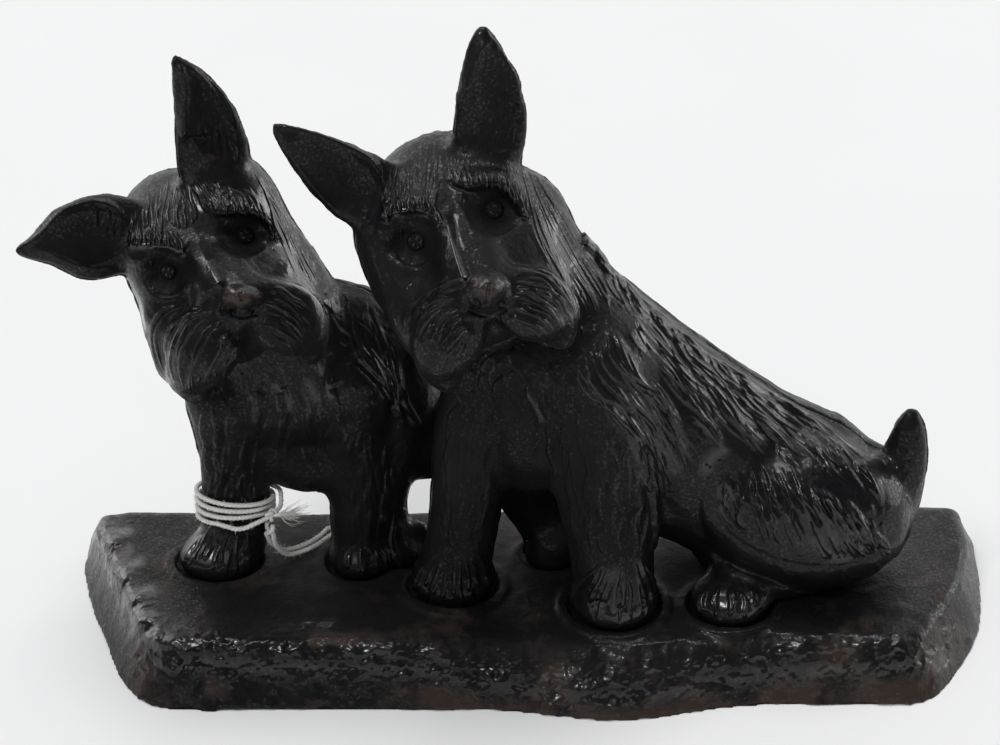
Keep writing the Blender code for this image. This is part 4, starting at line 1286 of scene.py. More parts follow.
SHOULDER_GUIDES = [
    [(566, 360), (590, 390), (612, 414), (628, 436), (640, 462), (650, 500)],
    [(580, 352), (600, 386), (624, 410), (642, 434), (656, 464), (664, 500)],
    [(596, 340), (614, 372), (634, 398), (656, 426), (672, 456), (684, 486)],
    [(608, 322), (630, 356), (654, 386), (676, 414), (694, 444), (704, 470)],
]
FLANK_GUIDES = [
    [(620, 310), (644, 346), (668, 378), (690, 408), (708, 438), (716, 462)],
    [(640, 306), (668, 346), (696, 380), (718, 410), (740, 436), (752, 452)],
    [(664, 318), (696, 356), (728, 390), (756, 418), (784, 444), (806, 470)],
    [(700, 346), (732, 374), (768, 402), (804, 430), (836, 458), (862, 492)],
    [(740, 372), (780, 396), (820, 420), (852, 446), (876, 480), (890, 514)],
]
NECK_GUIDES = [
    [(534, 176), (570, 226), (604, 276), (630, 316)],
    [(548, 190), (590, 244), (626, 290), (660, 330)],
    [(560, 206), (610, 268), (660, 320), (710, 360)],
    [(640, 300), (700, 350), (770, 396), (850, 440)],
]
HAUNCH_GUIDES = [
    [(722, 476), (724, 504), (734, 530)], [(738, 462), (746, 492), (758, 530)],
    [(760, 456), (776, 488), (790, 530), (794, 556)], [(782, 462), (804, 496), (822, 532), (830, 562)],
    [(806, 474), (830, 508), (848, 540), (856, 562)], [(834, 492), (856, 524), (872, 556)],
    [(858, 504), (878, 530), (892, 550)],
]
CHEST_GUIDES = [
    [(484, 336), (478, 360), (468, 392)], [(500, 334), (500, 364), (494, 400)],
    [(520, 344), (524, 380), (530, 412)], [(544, 360), (550, 396), (560, 430)],
    [(566, 362), (576, 396), (590, 436)],
]
RIGHT_FORELEG_GUIDES = [
    [(456, 392), (450, 430), (446, 480), (442, 546)], [(476, 396), (472, 440), (466, 490), (460, 552)],
    [(496, 410), (496, 440), (492, 480), (486, 540)],
]
LEFT_FORELEG_GUIDES = [
    [(530, 400), (542, 424), (546, 456), (556, 488)], [(556, 410), (562, 440), (566, 480), (576, 540)],
    [(584, 412), (592, 450), (594, 500), (592, 556)], [(610, 426), (614, 460), (616, 510), (614, 560)],
    [(628, 424), (636, 456), (642, 500), (638, 556)], [(642, 440), (654, 476), (660, 516), (658, 570)],
]
PAW_GUIDES = [
    [
        [(606, 556), (586, 580), (570, 606)], [(612, 558), (600, 590), (590, 620)],
        [(622, 560), (618, 592), (616, 626)], [(630, 560), (636, 590), (640, 618)],
        [(640, 552), (652, 580), (658, 606)],
    ],
    [
        [(432, 552), (418, 574), (408, 594)], [(444, 556), (436, 582), (430, 606)],
        [(460, 556), (462, 584), (464, 608)], [(478, 552), (486, 578), (492, 598)],
    ],
    [
        [(704, 588), (700, 600), (700, 614)], [(722, 580), (720, 598), (718, 620)],
        [(740, 580), (744, 600), (744, 620)], [(752, 588), (760, 600), (764, 612)],
    ],
]
CLAW_GROOVES = [
    [(598, 598), (594, 622)], [(620, 602), (620, 628)], [(642, 596), (646, 618)],
    [(430, 588), (428, 606)], [(452, 592), (454, 610)], [(474, 588), (478, 604)],
]
SITTING_BODY_GLINTS = [
    ([(602, 360), (614, 386), (630, 404), (648, 424), (662, 444), (676, 468)], 7.0, 0.55),
    ([(585, 362), (600, 392), (622, 420), (640, 446)], 6.0, 0.45),
    ([(524, 386), (534, 404), (542, 420)], 3.0, 0.9),
    ([(706, 470), (712, 458), (722, 450)], 6.0, 0.9),
    ([(780, 470), (800, 500), (812, 524)], 9.0, 0.55),
    ([(806, 490), (824, 516), (836, 540)], 9.0, 0.7),
    ([(812, 540), (830, 556), (846, 558)], 6.0, 0.8),
    ([(700, 604), (716, 600), (736, 606), (752, 610)], 7.0, 1.0),
    ([(598, 606), (610, 612), (626, 618), (644, 612)], 7.0, 1.0),
    ([(586, 590), (600, 580), (616, 574)], 9.0, 0.6),
    ([(640, 566), (652, 590), (656, 604)], 6.0, 0.8),
    ([(424, 596), (444, 602), (464, 600)], 7.0, 0.7),
]
SITTING_BODY_SPOTS = [
    # painted shade on the chest and forelegs, as duller paint
    ("dull_and_shade", (460, 470), (50, 90), 0.6),
    ("dull_and_shade", (520, 400), (50, 50), 0.5),
    ("dull_and_shade", (570, 480), (46, 80), 0.7),
    ("dull_and_shade", (616, 520), (40, 60), 0.4),
    ("gloss", (824, 520), (64, 38), 0.4),
    ("gloss", (612, 600), (36, 24), 0.4),
]
# tufts of the coat, as their guides, how many, how long, wide and high, and their lean, wave and shine
SITTING_COAT = [
    (SHOULDER_GUIDES, 42, 80, 7.5, 0.55, 0.74, 2.6, 1.0),
    (FLANK_GUIDES, 66, 84, 7.5, 0.44, 0.74, 2.4, 0.9),
    (NECK_GUIDES, 40, 70, 6.0, 0.32, 0.68, 2.0, 0.5),
    (HAUNCH_GUIDES, 92, 46, 4.8, 0.5, 0.66, 1.4, 1.0),
    (CHEST_GUIDES, 26, 42, 6.5, 0.42, 0.65, 2.0, 0.4),
    (RIGHT_FORELEG_GUIDES, 26, 56, 6.0, 0.4, 0.65, 2.2, 0.3),
    (LEFT_FORELEG_GUIDES, 56, 58, 6.5, 0.46, 0.68, 2.4, 0.5),
]
# what isn't face lies below the chin, or to the right of a line that slants down from the nape
SITTING_CHIN, SITTING_NAPE, NAPE_SLANT = 106, (8, 118), 0.35


def shifted(curve, across, down):
    return [(x + across, y + down) for x, y in curve]


def off_sitting_face(places):
    nape = SITTING_NAPE[0] + (SITTING_NAPE[1] - places[:, 2]) * NAPE_SLANT
    return (places[:, 2] < SITTING_CHIN) | (places[:, 0] > nape)


def sitting_body(casting):
    body = Relief(casting, SITTING_BODY, 0.0, off_sitting_face)
    for front, under, *rim in HAUNCH_RIMS:
        body.crest(shifted(HAUNCH_FRONT, *front) + shifted(HAUNCH_UNDER, *under), *rim)
    body.crest(*HAUNCH_INNER)
    body.swell(*HAUNCH_SWELL)
    for fold in SITTING_FOLDS:
        body.crest(*fold)
    body.apply()

    fur = Relief(casting, SITTING_BODY, 9.0, off_sitting_face)
    for tufts in SITTING_COAT:
        fur.tufts(*tufts)
    for guides, count in zip(PAW_GUIDES, (14, 12, 10)):
        fur.locks(guides, count, 3.4, 0.7, jitter=0.5, taper=(0.4, 0.15), ends=0.3, wave=0.7, shine=0.9)
    for groove in CLAW_GROOVES:
        fur.lock(curve_through(groove, 8), 3.0, -0.7)
    fur.dabs(420, 11, 2.8, 0.22, lean=0.4, slope=(0.75, 1.0))
    paint(fur, SITTING_BODY_GLINTS, SITTING_BODY_SPOTS)
    fur.apply()


# Standing dog

STANDING_FACE = [
    (126, 232), (136, 206), (160, 176), (190, 164), (256, 166), (284, 214), (310, 262), (326, 300),
    (326, 340), (310, 362), (286, 354), (262, 338), (244, 350), (232, 380), (206, 402), (176, 408),
    (150, 386), (134, 330), (124, 276),
]
STANDING_HEAD = [
    (108, 250), (112, 214), (134, 196), (158, 176), (172, 156), (178, 136), (240, 132), (256, 160),
    (284, 206), (314, 256), (344, 296), (344, 346), (310, 362), (286, 354), (262, 338), (244, 350),
    (232, 380), (206, 402), (176, 408), (150, 386), (132, 330), (120, 276),
]
STANDING_LIPS = [
    [(246, 344), (262, 334), (284, 350), (308, 362)],
    [(243, 345), (236, 360), (228, 380), (204, 398), (180, 404)],
]
STANDING_EYES = [((246.5, 235.5), 7.0, (25, 20), 2.7), ((168.0, 272.0), 7.0, (24, 22), 2.7)]
STANDING_FACE_CRESTS = [
    ([(186, 226), (200, 250), (212, 276), (222, 292)], 8.0, 34.0, 1.9, (0.55, 0.15)),
    ([(206, 210), (218, 213), (236, 212), (254, 213), (268, 222), (276, 240)], 13.0, 4.0, 1.3, (0.15, 0.1)),
    ([(128, 246), (140, 245), (156, 245), (172, 248), (184, 256)], 13.0, 4.0, 1.2, (0.1, 0.12)),
    ([(218, 240), (224, 250), (238, 257), (254, 256), (268, 247)], 2.5, 5.5, 0.55, (0.1, 0.12)),
    ([(144, 280), (152, 292), (166, 297), (180, 292), (190, 280)], 2.5, 5.5, 0.5, (0.15, 0.15)),
    ([(240, 292), (242, 302)], 2.0, 2.0, -0.6, (0.1, 0.1)),
    ([(228, 303), (234, 308), (230, 312)], 2.0, 2.0, -0.7, (0.1, 0.1)),
    ([(256, 306), (250, 309), (254, 313)], 2.0, 2.0, -0.7, (0.1, 0.1)),
    ([(217, 306), (222, 317), (233, 318), (239, 310)], 2.2, 2.2, 0.5, (0.1, 0.1)),
    ([(222, 306), (240, 316), (260, 312)], 4.0, 3.0, -0.9, (0.1, 0.1)),
    ([(262, 322), (280, 330), (300, 348)], 12.0, 6.0, 0.8, (0.2, 0.2)),
    ([(236, 336), (222, 352), (206, 380)], 10.0, 12.0, 0.8, (0.2, 0.2)),
    ([(129, 254), (133, 276), (141, 306), (150, 336)], 5.0, 7.0, 0.5, (0.2, 0.2)),
]
STANDING_FACE_SWELLS = [
    ((262, 280), (40, 40), 0.9, 0, 2.0), ((180, 306), (24, 34), -1.4, 20, 2.0),
    ((243, 297), (22, 13), 2.4, 10, 1.2), ((236, 294), (9, 9), 0.5, 0, 2.0),
    ((252, 299), (9, 9), 0.5, 0, 2.0),
]
STANDING_BROWS = [
    [
        [(134, 206), (132, 226), (130, 246)], [(150, 190), (148, 216), (148, 244)],
        [(172, 176), (166, 210), (164, 246)], [(184, 178), (194, 200), (200, 232)],
    ],
    [
        [(187, 177), (197, 193), (208, 211)], [(199, 176), (211, 191), (224, 210)],
        [(214, 180), (226, 194), (238, 210)], [(232, 186), (243, 198), (252, 211)],
        [(250, 186), (260, 202), (268, 222)],
    ],
]
STANDING_FRINGES = [
    [[(130, 232), (130, 249)], [(146, 228), (146, 248)], [(162, 228), (164, 247)], [(176, 232), (185, 256)]],
    [[(196, 196), (203, 214)], [(224, 194), (228, 216)], [(244, 194), (250, 216)], [(258, 204), (272, 230)]],
]
STANDING_SIDE_OF_HEAD = [
    [(252, 168), (268, 202), (284, 246), (300, 288), (314, 322)],
    [(260, 176), (284, 214), (302, 246), (316, 280), (320, 312)],
]
STANDING_MOUSTACHES = [
    [
        [(264, 286), (282, 290), (300, 302), (316, 320)], [(264, 298), (280, 302), (298, 316), (312, 336)],
        [(264, 310), (280, 314), (296, 326), (310, 346)], [(264, 320), (278, 326), (292, 336), (306, 354)],
        [(258, 328), (274, 336), (288, 346), (298, 360)],
    ],
    [
        [(208, 302), (180, 304), (160, 314), (150, 332), (154, 356), (168, 390)],
        [(212, 309), (190, 315), (174, 336), (170, 362), (176, 392)],
        [(222, 318), (202, 330), (190, 352), (186, 376), (190, 398)],
        [(234, 326), (218, 344), (207, 366), (203, 394)],
        [(240, 334), (232, 356), (222, 382)],
    ],
]
STANDING_GLINTS = [
    ([(130, 246), (148, 246), (164, 246), (184, 254)], 3.0, 0.8),
    ([(208, 200), (224, 204), (240, 206), (252, 212)], 7.0, 0.8),
    ([(188, 196), (194, 202), (201, 208)], 7.0, 0.9),
    ([(204, 258), (212, 272), (219, 284)], 3.0, 1.0),
    ([(206, 245), (212, 251)], 3.0, 0.9),
    ([(251, 180), (266, 208), (283, 246), (300, 280), (314, 306)], 14.0, 1.0),
    ([(130, 262), (137, 292), (146, 326)], 5.0, 0.7),
    ([(196, 310), (178, 328), (171, 350), (170, 380)], 6.0, 0.5),
    ([(270, 306), (283, 317), (300, 334)], 4.0, 0.6),
]
# spots of paint as above; the dull, dark spots between the brows and on the jowl are painted shade
STANDING_FACE_SPOTS = [
    ("rust", (243, 297), (20, 11), 1.0),
    ("rust", (211, 158), (14, 7), 0.6),
    ("dull_and_shade", (206, 212), (10, 9), 0.7),
    ("gloss", (196, 190), (34, 13), 0.6),
    ("dull_and_shade", (288, 338), (26, 20), 0.5),
    ("gloss", (236, 290), (10, 6), 0.6),
]


def standing_face(casting):
    face_shapes(casting, STANDING_FACE, STANDING_FACE_CRESTS, STANDING_FACE_SWELLS, STANDING_EYES)
    fur = Relief(casting, STANDING_HEAD, 3.0)
    for guides, count in zip(STANDING_BROWS, (22, 24)):
        fur.locks(guides, count, 3.0, 0.28, jitter=0.6, taper=(0.4, 0.12), ends=0.35, shine=0.6)
    for guides, count in zip(STANDING_FRINGES, (13, 15)):
        fur.locks(guides, count, 2.5, 0.55, jitter=0.9, taper=(0.5, 0.08), wave=0.7, ends=0.2, shine=0.9)
    fur.locks(STANDING_SIDE_OF_HEAD, 9, 2.6, 0.2, lean=0.4, wave=1.4, ends=0.45, shine=0.5)
    fur.locks(STANDING_MOUSTACHES[0], 13, 2.6, 0.45, lean=0.4, jitter=0.9, ends=0.4, shine=0.9)
    fur.locks(STANDING_MOUSTACHES[1], 15, 3.2, 0.5, lean=-0.4, jitter=0.9, ends=0.3, shine=0.7)
    for guides in STANDING_MOUSTACHES:
        fur.tufts(guides, 24, 16, 2.3, 0.25)
    fur.dabs(50, 9, 2.2, 0.16, slope=(0.3, 1.0))
    paint(fur, STANDING_GLINTS, STANDING_FACE_SPOTS)
    fur.apply()


STANDING_RIGHT_EAR = [
    (175, 50), (168, 64), (173, 88), (176, 112), (174, 138), (176, 166), (200, 172), (252, 164),
    (244, 132), (232, 106), (220, 88), (207, 69), (190, 56),
]
STANDING_LEFT_EAR = [
    (12, 248), (24, 238), (40, 227), (56, 207), (82, 194), (108, 196), (134, 194), (134, 238),
    (126, 272), (98, 278), (70, 268), (42, 254), (24, 256),
]
STANDING_RIGHT_EAR_RIMS = [
    ([(178, 62), (186, 88), (184, 124), (187, 156)], 4.0, 4.5, 0.9, (0.1, 0.3)),
    ([(186, 62), (206, 82), (224, 110), (240, 144)], 3.0, 3.0, 0.5, (0.1, 0.3)),
]
STANDING_LEFT_EAR_RIMS = [
    (
        [(16, 248), (34, 238), (50, 222), (68, 206), (94, 201), (116, 208), (126, 226)],
        3.0, 4.5, 0.9, (0.1, 0.2),
    ),
    ([(36, 250), (62, 260), (90, 270), (116, 268)], 3.5, 3.0, 0.5, (0.1, 0.1)),
]
STANDING_EAR_TUFTS = [
    [[(198, 116), (200, 160)], [(230, 134), (238, 164)]],
    [[(92, 200), (88, 230)], [(122, 212), (118, 250)]],
]
STANDING_EARS = [
    (
        STANDING_RIGHT_EAR, ((211, 118), (24, 48), -1.8, -14, 1.0),
        STANDING_RIGHT_EAR_RIMS, STANDING_EAR_TUFTS[0], 5,
    ),
    (
        STANDING_LEFT_EAR, ((88, 238), (42, 27), -1.9, -8, 1.0),
        STANDING_LEFT_EAR_RIMS, STANDING_EAR_TUFTS[1], 5,
    ),
]
STANDING_BODY = [
    (320, 276), (350, 290), (384, 306), (404, 340), (410, 400), (434, 440), (432, 476), (408, 486),
    (408, 570), (372, 586), (338, 570), (330, 510), (300, 484), (268, 498), (252, 560), (240, 584),
    (196, 584), (176, 560), (200, 500), (190, 440), (186, 404), (206, 402), (232, 380), (244, 350),
    (262, 338), (310, 362), (326, 340),
]
STANDING_FOLDS = [
    ([(334, 382), (342, 404), (347, 420), (350, 433)], 7.0, 5.0, -0.9, (0.1, 0.2)),
    ([(282, 385), (293, 407), (289, 434)], 7.0, 5.0, -0.9, (0.1, 0.2)),
    ([(259, 382), (270, 400), (265, 414), (262, 440)], 7.0, 5.0, -0.7, (0.1, 0.2)),
    ([(354, 359), (376, 381), (404, 411), (410, 433)], 6.0, 4.0, -0.8, (0.1, 0.2)),
    ([(230, 396), (226, 430), (222, 470)], 7.0, 7.0, -0.5, (0.2, 0.2)),
    ([(352, 450), (356, 480), (362, 520), (364, 550)], 5.0, 5.0, -0.5, (0.2, 0.2)),
]
STANDING_CHEST_GUIDES = [
    [(204, 404), (206, 436), (214, 470), (210, 510)], [(226, 396), (230, 430), (234, 470), (230, 510)],
    [(250, 372), (262, 404), (260, 440), (254, 480)], [(276, 360), (288, 396), (292, 430), (290, 466)],
    [(306, 366), (320, 396), (324, 430), (320, 470)], [(326, 350), (342, 396), (350, 430), (352, 470)],
]
STANDING_SIDE_GUIDES = [
    [(326, 296), (350, 340), (378, 380), (400, 420)], [(346, 292), (374, 340), (396, 384), (410, 420)],
    [(376, 306), (396, 346), (406, 390), (420, 430)],
]
STANDING_LEG_GUIDES = [
    [
        [(346, 430), (348, 470), (346, 510), (342, 550)], [(370, 430), (374, 480), (376, 520), (376, 556)],
        [(392, 440), (396, 480), (402, 520), (404, 560)],
    ],
    [
        [(204, 440), (208, 480), (206, 510), (202, 530)], [(226, 440), (232, 480), (232, 510), (228, 534)],
        [(250, 440), (256, 480), (256, 510), (254, 540)],
    ],
]
STANDING_PAW_GUIDES = [
    [
        [(206, 526), (192, 546), (180, 566)], [(218, 528), (208, 552), (200, 576)],
        [(232, 528), (228, 552), (224, 580)], [(246, 528), (250, 552), (252, 574)],
    ],
    [
        [(352, 540), (344, 560), (340, 576)], [(370, 546), (372, 564), (374, 582)],
        [(388, 540), (398, 560), (404, 574)],
    ],
]
STANDING_BODY_GLINTS = [
    ([(318, 366), (326, 382), (331, 396)], 3.0, 0.9),
    ([(276, 386), (288, 400), (290, 412)], 3.0, 0.8),
    ([(187, 557), (194, 544), (201, 530)], 6.0, 1.0),
    ([(203, 541), (210, 558), (216, 575)], 6.0, 1.0),
    ([(240, 559), (248, 570)], 4.0, 0.8),
    ([(350, 556), (364, 570), (384, 574)], 6.0, 0.7),
    ([(308, 384), (316, 398)], 5.0, 0.7),
]
STANDING_BODY_SPOTS = [
    # painted shade on the chest and legs, as duller paint
    ("dull_and_shade", (224, 470), (36, 60), 0.4),
    ("dull_and_shade", (350, 490), (40, 60), 0.5),
    ("dull_and_shade", (290, 450), (50, 40), 0.4),
    ("gloss", (206, 554), (28, 24), 0.5),
]
STANDING_COAT = [
    (STANDING_CHEST_GUIDES, 34, 50, 6.5, 0.36, 0.65, 2.2, 0.5),
    (STANDING_SIDE_GUIDES, 26, 56, 7.0, 0.42, 0.68, 2.0, 0.5),
    (STANDING_LEG_GUIDES[0], 22, 46, 5.5, 0.36, 0.6, 1.8, 0.5),
    (STANDING_LEG_GUIDES[1], 22, 46, 5.5, 0.36, 0.6, 1.8, 0.5),
]
# what isn't face lies below the chin or to the right of the cheek
STANDING_CHIN, STANDING_CHEEK = 86, -40


def off_standing_face(places):
    return (places[:, 2] < STANDING_CHIN) | (places[:, 0] > STANDING_CHEEK)


def standing_body(casting):
    body = Relief(casting, STANDING_BODY, 0.0, off_standing_face)
    for fold in STANDING_FOLDS:
        body.crest(*fold)
    body.apply()

    fur = Relief(casting, STANDING_BODY, 2.0)
    for tufts in STANDING_COAT:
        fur.tufts(*tufts)
    for guides, count in zip(STANDING_PAW_GUIDES, (12, 9)):
        fur.locks(guides, count, 3.2, 0.62, jitter=0.5, taper=(0.4, 0.15), ends=0.3, wave=0.7, shine=1.0)
    fur.dabs(190, 11, 2.8, 0.22, lean=0.4, slope=(0.5, 1.0))
    paint(fur, STANDING_BODY_GLINTS, STANDING_BODY_SPOTS)
    fur.apply()


# Base

BASE = [(60, 480), (1000, 480), (1000, 740), (60, 740)]
PAW_RIMS = [
    ((213, 560), (43, 25)), ((370, 566), (40, 21)), ((455, 588), (48, 26)), ((612, 602), (50, 33)),
    ((730, 606), (43, 25)),
]
# how high the rims round the paws stand, and where and how wide they are, in the radii above
RIM_HEIGHT, RIM_PLACE, RIM_WIDTH = 0.35, 1.07, 0.08
FRONT_CREST = [
    (146, 650), (186, 646), (250, 649), (345, 653), (433, 654), (470, 665), (515, 672), (563, 678),
    (607, 682), (650, 676), (700, 668), (749, 660), (799, 655), (849, 653), (900, 650), (944, 644),
]
LEFT_SHOULDER = [(100, 530), (110, 556), (120, 584), (134, 612), (152, 642)]
# the crest of the front edge, the hollow behind it and the bank under the haunch
BASE_CRESTS = [
    (FRONT_CREST, 18.0, 26.0, 0.9, (0.02, 0.02)),
    (shifted(FRONT_CREST, 0, -26), 12.0, 12.0, -0.4, (0.05, 0.05)),
    ([(690, 560), (731, 571), (781, 589), (836, 598), (866, 593), (892, 582)], 4.5, 5.0, 0.7, (0.1, 0.1)),
]
FRONT_GLINTS = [
    [(173, 644), (220, 641), (266, 646)], [(284, 649), (300, 650), (318, 651)],
    [(305, 620), (322, 621), (337, 623)], [(345, 651), (390, 652), (433, 653)],
    [(440, 657), (480, 664), (520, 671)], [(540, 672), (580, 678), (620, 681)],
    [(630, 678), (670, 670), (720, 663)], [(740, 657), (790, 652), (830, 651)],
    [(850, 649), (880, 649), (915, 650)],
]
LEFT_GLINTS = [
    [(100, 545), (114, 536), (128, 531)], [(112, 584), (126, 572), (139, 562)],
    [(121, 606), (136, 598), (151, 590)], [(130, 632), (142, 624), (153, 615)],
    [(182, 671), (190, 666), (198, 661)], [(106, 566), (116, 556), (128, 550)],
]
# paint along curves, as a layer, a curve, how wide and how strong
BASE_STREAKS = [
    *[("gloss", glint, 8, 0.7) for glint in FRONT_GLINTS],
    *[("gloss", glint, 6, 1.0) for glint in LEFT_GLINTS],
    ("gloss", LEFT_SHOULDER, 18, 0.8),
    ("gloss", shifted(FRONT_CREST, 0, 17), 9, 0.6),
    # painted shade on the base top in front of the paws, as duller paint
    ("dull_and_shade", [(230, 606), (330, 608), (450, 628), (560, 640)], 24, 0.9),
    ("rust", shifted(FRONT_CREST[4:], 0, 42), 16, 0.6),
    ("rust", [(140, 655), (150, 690)], 14, 0.4),
    ("rust", [(314, 640), (330, 638), (348, 640)], 6, 0.9),
]
BASE_SPOTS = [
    # painted shade on the base top under the dogs and in the gap under the sitting dog's belly, as duller
    # paint
    ("dull_and_shade", (400, 560), (200, 44), 0.8),
    ("dull_and_shade", (686, 566), (32, 26), 1.0),
    ("rust", (940, 640), (30, 30), 0.6),
]
# the hammered left end, as the centres and radii of its mounds, and their height and turn
LEFT_MOUNDS = [
    ((114, 539), (24, 13)), ((124, 573), (23, 12)), ((134, 598), (22, 10)), ((142, 620), (20, 9)),
    ((150, 640), (18, 9)),
]
MOUND_HEIGHT, MOUND_TURN = 1.2, -32
# lumps of the base's skin, as rows of a height, a size and a seed
WAVES = [(0.45, 9.0, 11), (0.25, 4.0, 12)]
PEBBLES = [(0.5, 4.4, 13), (0.26, 2.0, 14)]
BROKEN_PAINT = [(0.5, 3.2, 15), (0.3, 1.6, 16)]
# above this level the moats' walls are drawn in, by a share of their way to the gap that stays round a foot.
# The share falls to nothing between two distances from the foot, and no foot is looked for beyond the third
MOAT_LEVEL, FOOT_GAP = 10.5, 0.45
MOAT_SHARE, MOAT_NEAR, MOAT_FAR, MOAT_REACH = 0.66, 1.4, 3.5, 3.6


def narrow_moats(casting, dogs):
    """Draws the walls of the moats in towards the feet that stand in them."""
    moved = np.zeros_like(casting.places)
    for dog in dogs:
        for i in np.nonzero(casting.places[:, 2] > MOAT_LEVEL)[0]:
            hit, _, _, distance = dog.tree.find_nearest(Vector(casting.places[i]), MOAT_REACH)
            if hit is None or distance < FOOT_GAP:
                continue
            towards = np.array(hit) - casting.places[i]
            towards[2] = 0.0
            share = 1 - smoothstep(MOAT_NEAR, MOAT_FAR, distance)
            share = MOAT_SHARE * share * (distance - FOOT_GAP) / distance
            if share * distance > np.linalg.norm(moved[i]):
                moved[i] = towards * share
    casting.places += moved
    casting.turn()


def near_line(skin, curve, width):
    return np.exp(-((along_curve(skin.u, skin.v, curve)[0] / width) ** 2))


def layered(places, rows):
    return sum(height * lumps(places, size, seed) for height, size, seed in rows)


def shape_base(casting):
    skin = Relief(casting, BASE, 0.0)
    places, normals = casting.places[skin.rows], casting.normals[skin.rows]
    for crest in BASE_CRESTS:
        skin.crest(*crest)
    for centre, radii in PAW_RIMS:
        ring = np.exp(-(((skin.out_of(centre, radii) - RIM_PLACE) / RIM_WIDTH) ** 2))
        skin.height += RIM_HEIGHT * ring * (normals[:, 2] > 0.2)
    # waves all over, pebbles on the steep front, and broken paint near the edges
    wide = places / np.array([1.0, 1.0, 2.2])
    skin.height += layered(wide, WAVES)
    steep = smoothstep(0.35, 0.75, -normals[:, 1])
    upright = places / np.array([1.0, 1.0, 2.4])
    skin.height += steep * layered(upright, PEBBLES)
    front, left = near_line(skin, shifted(FRONT_CREST, 0, 10), 26.0), near_line(skin, LEFT_SHOULDER, 20.0)
    rough = np.maximum(front, left)
    skin.height += rough * layered(places, BROKEN_PAINT)
    skin.height += (0.03 + 0.15 * rough) * lumps(places, 0.8, 17)
    for centre, radii in LEFT_MOUNDS:
        skin.swell(centre, radii, MOUND_HEIGHT, MOUND_TURN)
    skin.dabs(200, 7, 2.6, 0.16, turn=90)
    for streak in BASE_STREAKS:
        skin.tint_along(*streak)
    for spot in BASE_SPOTS:
        skin.tint(*spot)
    skin.apply()


# The sides and the back that the photograph doesn't show

# below this level, on the feet, there are no locks
COMB_FOOT = 17


def flow_sitting(place):
    """Down the neck, then back along the trunk and down the legs."""
    back = smoothstep(96.0, 60.0, place[2]) if place[2] > 40 else 0.25
    return np.array([0.35 + 0.75 * back, 0.12, -1.0 + 0.35 * back])


def flow_standing(place):
    back = smoothstep(100.0, 76.0, place[2]) if place[2] > 46 else 0.1
    return np.array([0.25 + 0.7 * back, 0.15, -1.0 + 0.5 * back])


def above_feet(places, normals):
    return places[:, 2] > COMB_FOOT


def comb_backs(sitting, standing, sitting_back, standing_back):
    sitting_back.comb(above_feet, flow_sitting, 0.5)
    standing_back.comb(above_feet, flow_standing, 0.5)
    for casting, flow in ((sitting, flow_sitting), (standing, flow_standing)):
        hidden = ~casting.seen

        def turned_away(places, normals, hidden=hidden):
            return hidden & above_feet(places, normals) & (normals @ VIEW < 0.1)

        casting.comb(turned_away, flow, 0.36)


# The castings

# where each half of a dog ends, and by how much its rim is filled out, and over what distance
PARTING = {
    "sitting_dog_front": (6.17, 0.5), "sitting_dog_back": (6.46, 0.1),
    "standing_dog_front": (13.67, 0.5), "standing_dog_back": (13.96, 0.1),
}
RIM_REACH = 1.1
# the parts of the base that are seen from near and so are made finer
BASE_NEAR, BASE_LEFT = -14, -84
# the grain of the castings, as rows of a size and a height
GRAIN = [(2.6, 0.05), (1.1, 0.035)]


def near_face(outline):
    def test(places, normals):
        pixels = seen_at(places)
        return in_outline(pixels[:, 0], pixels[:, 1], outline) & (normals @ VIEW > -0.1) & (places[:, 1] < 0)

    return test


def seen_side(places, normals):
    """What faces the camera, or nearly does, and doesn't face back."""
    return (normals @ VIEW > -0.15) & (normals[:, 1] < 0.35)


def edges_of_base(places, normals):
    return (normals @ VIEW > 0.0) & ((places[:, 1] < BASE_NEAR) | (places[:, 0] < BASE_LEFT))


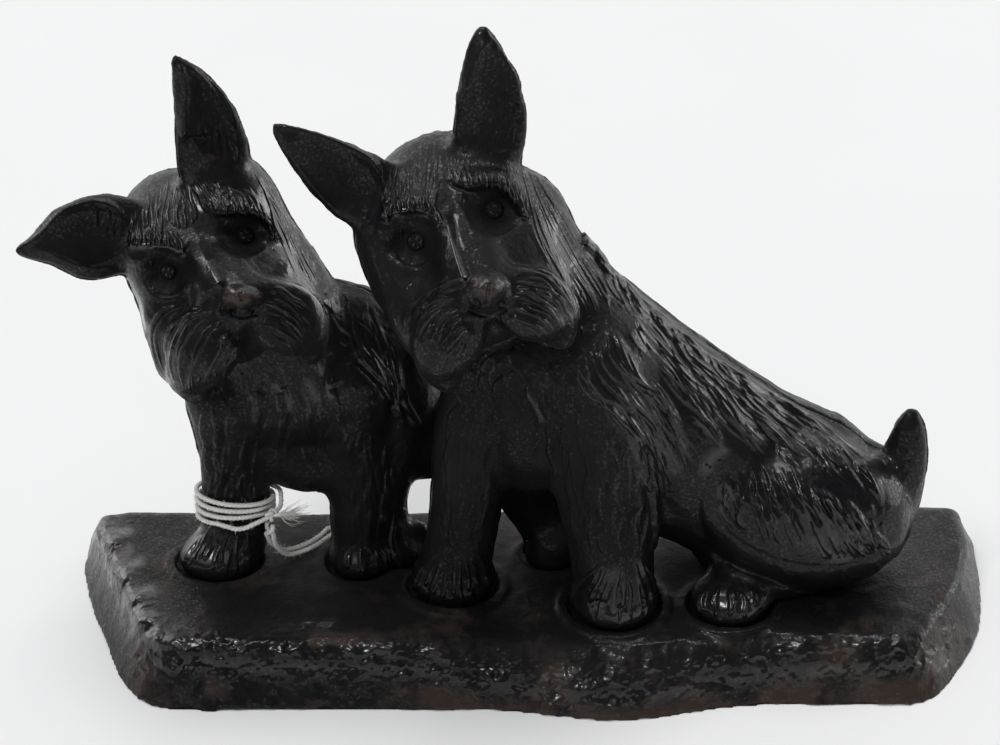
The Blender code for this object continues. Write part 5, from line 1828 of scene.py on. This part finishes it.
def square_rim(casting):
    """Fills out the rim at a dog's parting plane, which the evening has rounded."""
    plane, amount = PARTING[casting.node]
    near = np.exp(-(((casting.places[:, 1] + MIDDLE[1] - plane) / RIM_REACH) ** 2))
    casting.places += casting.normals * np.array([1.0, 0.0, 1.0]) * (amount * near)[:, None]
    casting.turn()


sitting = Casting("sitting_dog_front", voxel=0.56, relax=14, half="front")
standing = Casting("standing_dog_front", voxel=0.56, relax=14, half="front")
sitting_back = Casting("sitting_dog_back", voxel=0.7, relax=14, half="back")
standing_back = Casting("standing_dog_back", voxel=0.7, relax=14, half="back")
base = Casting("base_casting", voxel=0.7, relax=6)
dogs = (sitting, standing, sitting_back, standing_back)
# where the outline was rounded too much or stands too far out, as a pixel, a reach in pixels and mm
OUTLINE_MENDS = [
    (base, (90, 536), 12, 1.3),
    (base, (98, 522), 12, 1.2),
    (base, (950, 520), 16, 1.0),
    (base, (966, 545), 16, 1.0),
    (standing, (292, 215), 26, -0.6),
    (standing, (148, 352), 18, -1.0),
]

for casting in dogs:
    square_rim(casting)
for casting, pixel, reach, amount in OUTLINE_MENDS:
    casting.fatten(pixel, reach, amount)
for casting, outline, lips, face in (
    (sitting, SITTING_HEAD, SITTING_LIPS, SITTING_FACE),
    (standing, STANDING_HEAD, STANDING_LIPS, STANDING_FACE),
):
    relax_face(casting, outline, lips)
    casting.refine(seen_side)
    casting.smooth(4)
    casting.refine(near_face(face))
    casting.smooth(2)
    casting.look()
base.refine(edges_of_base)
base.smooth(3)
narrow_moats(base, (sitting, standing))
base.look()
shape_base(base)
sitting_back.look()
standing_back.look()
comb_backs(sitting, standing, sitting_back, standing_back)
sitting_body(sitting)
for ear in SITTING_EARS:
    ear_cup(sitting, *ear)
sitting_face(sitting)
standing_body(standing)
for ear in STANDING_EARS:
    ear_cup(standing, *ear)
standing_face(standing)
for casting in (*dogs, base):
    casting.roughen(GRAIN)
for casting in dogs:
    casting.finish("iron", iron)
base.finish("iron", rusty_iron)

white = cotton()
steel = aged_steel()
for piece in string_pieces:
    piece.data.materials.append(white)
for name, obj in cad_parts.items():
    if name.endswith("_screw"):
        obj.data.materials.clear()
        obj.data.materials.append(steel)
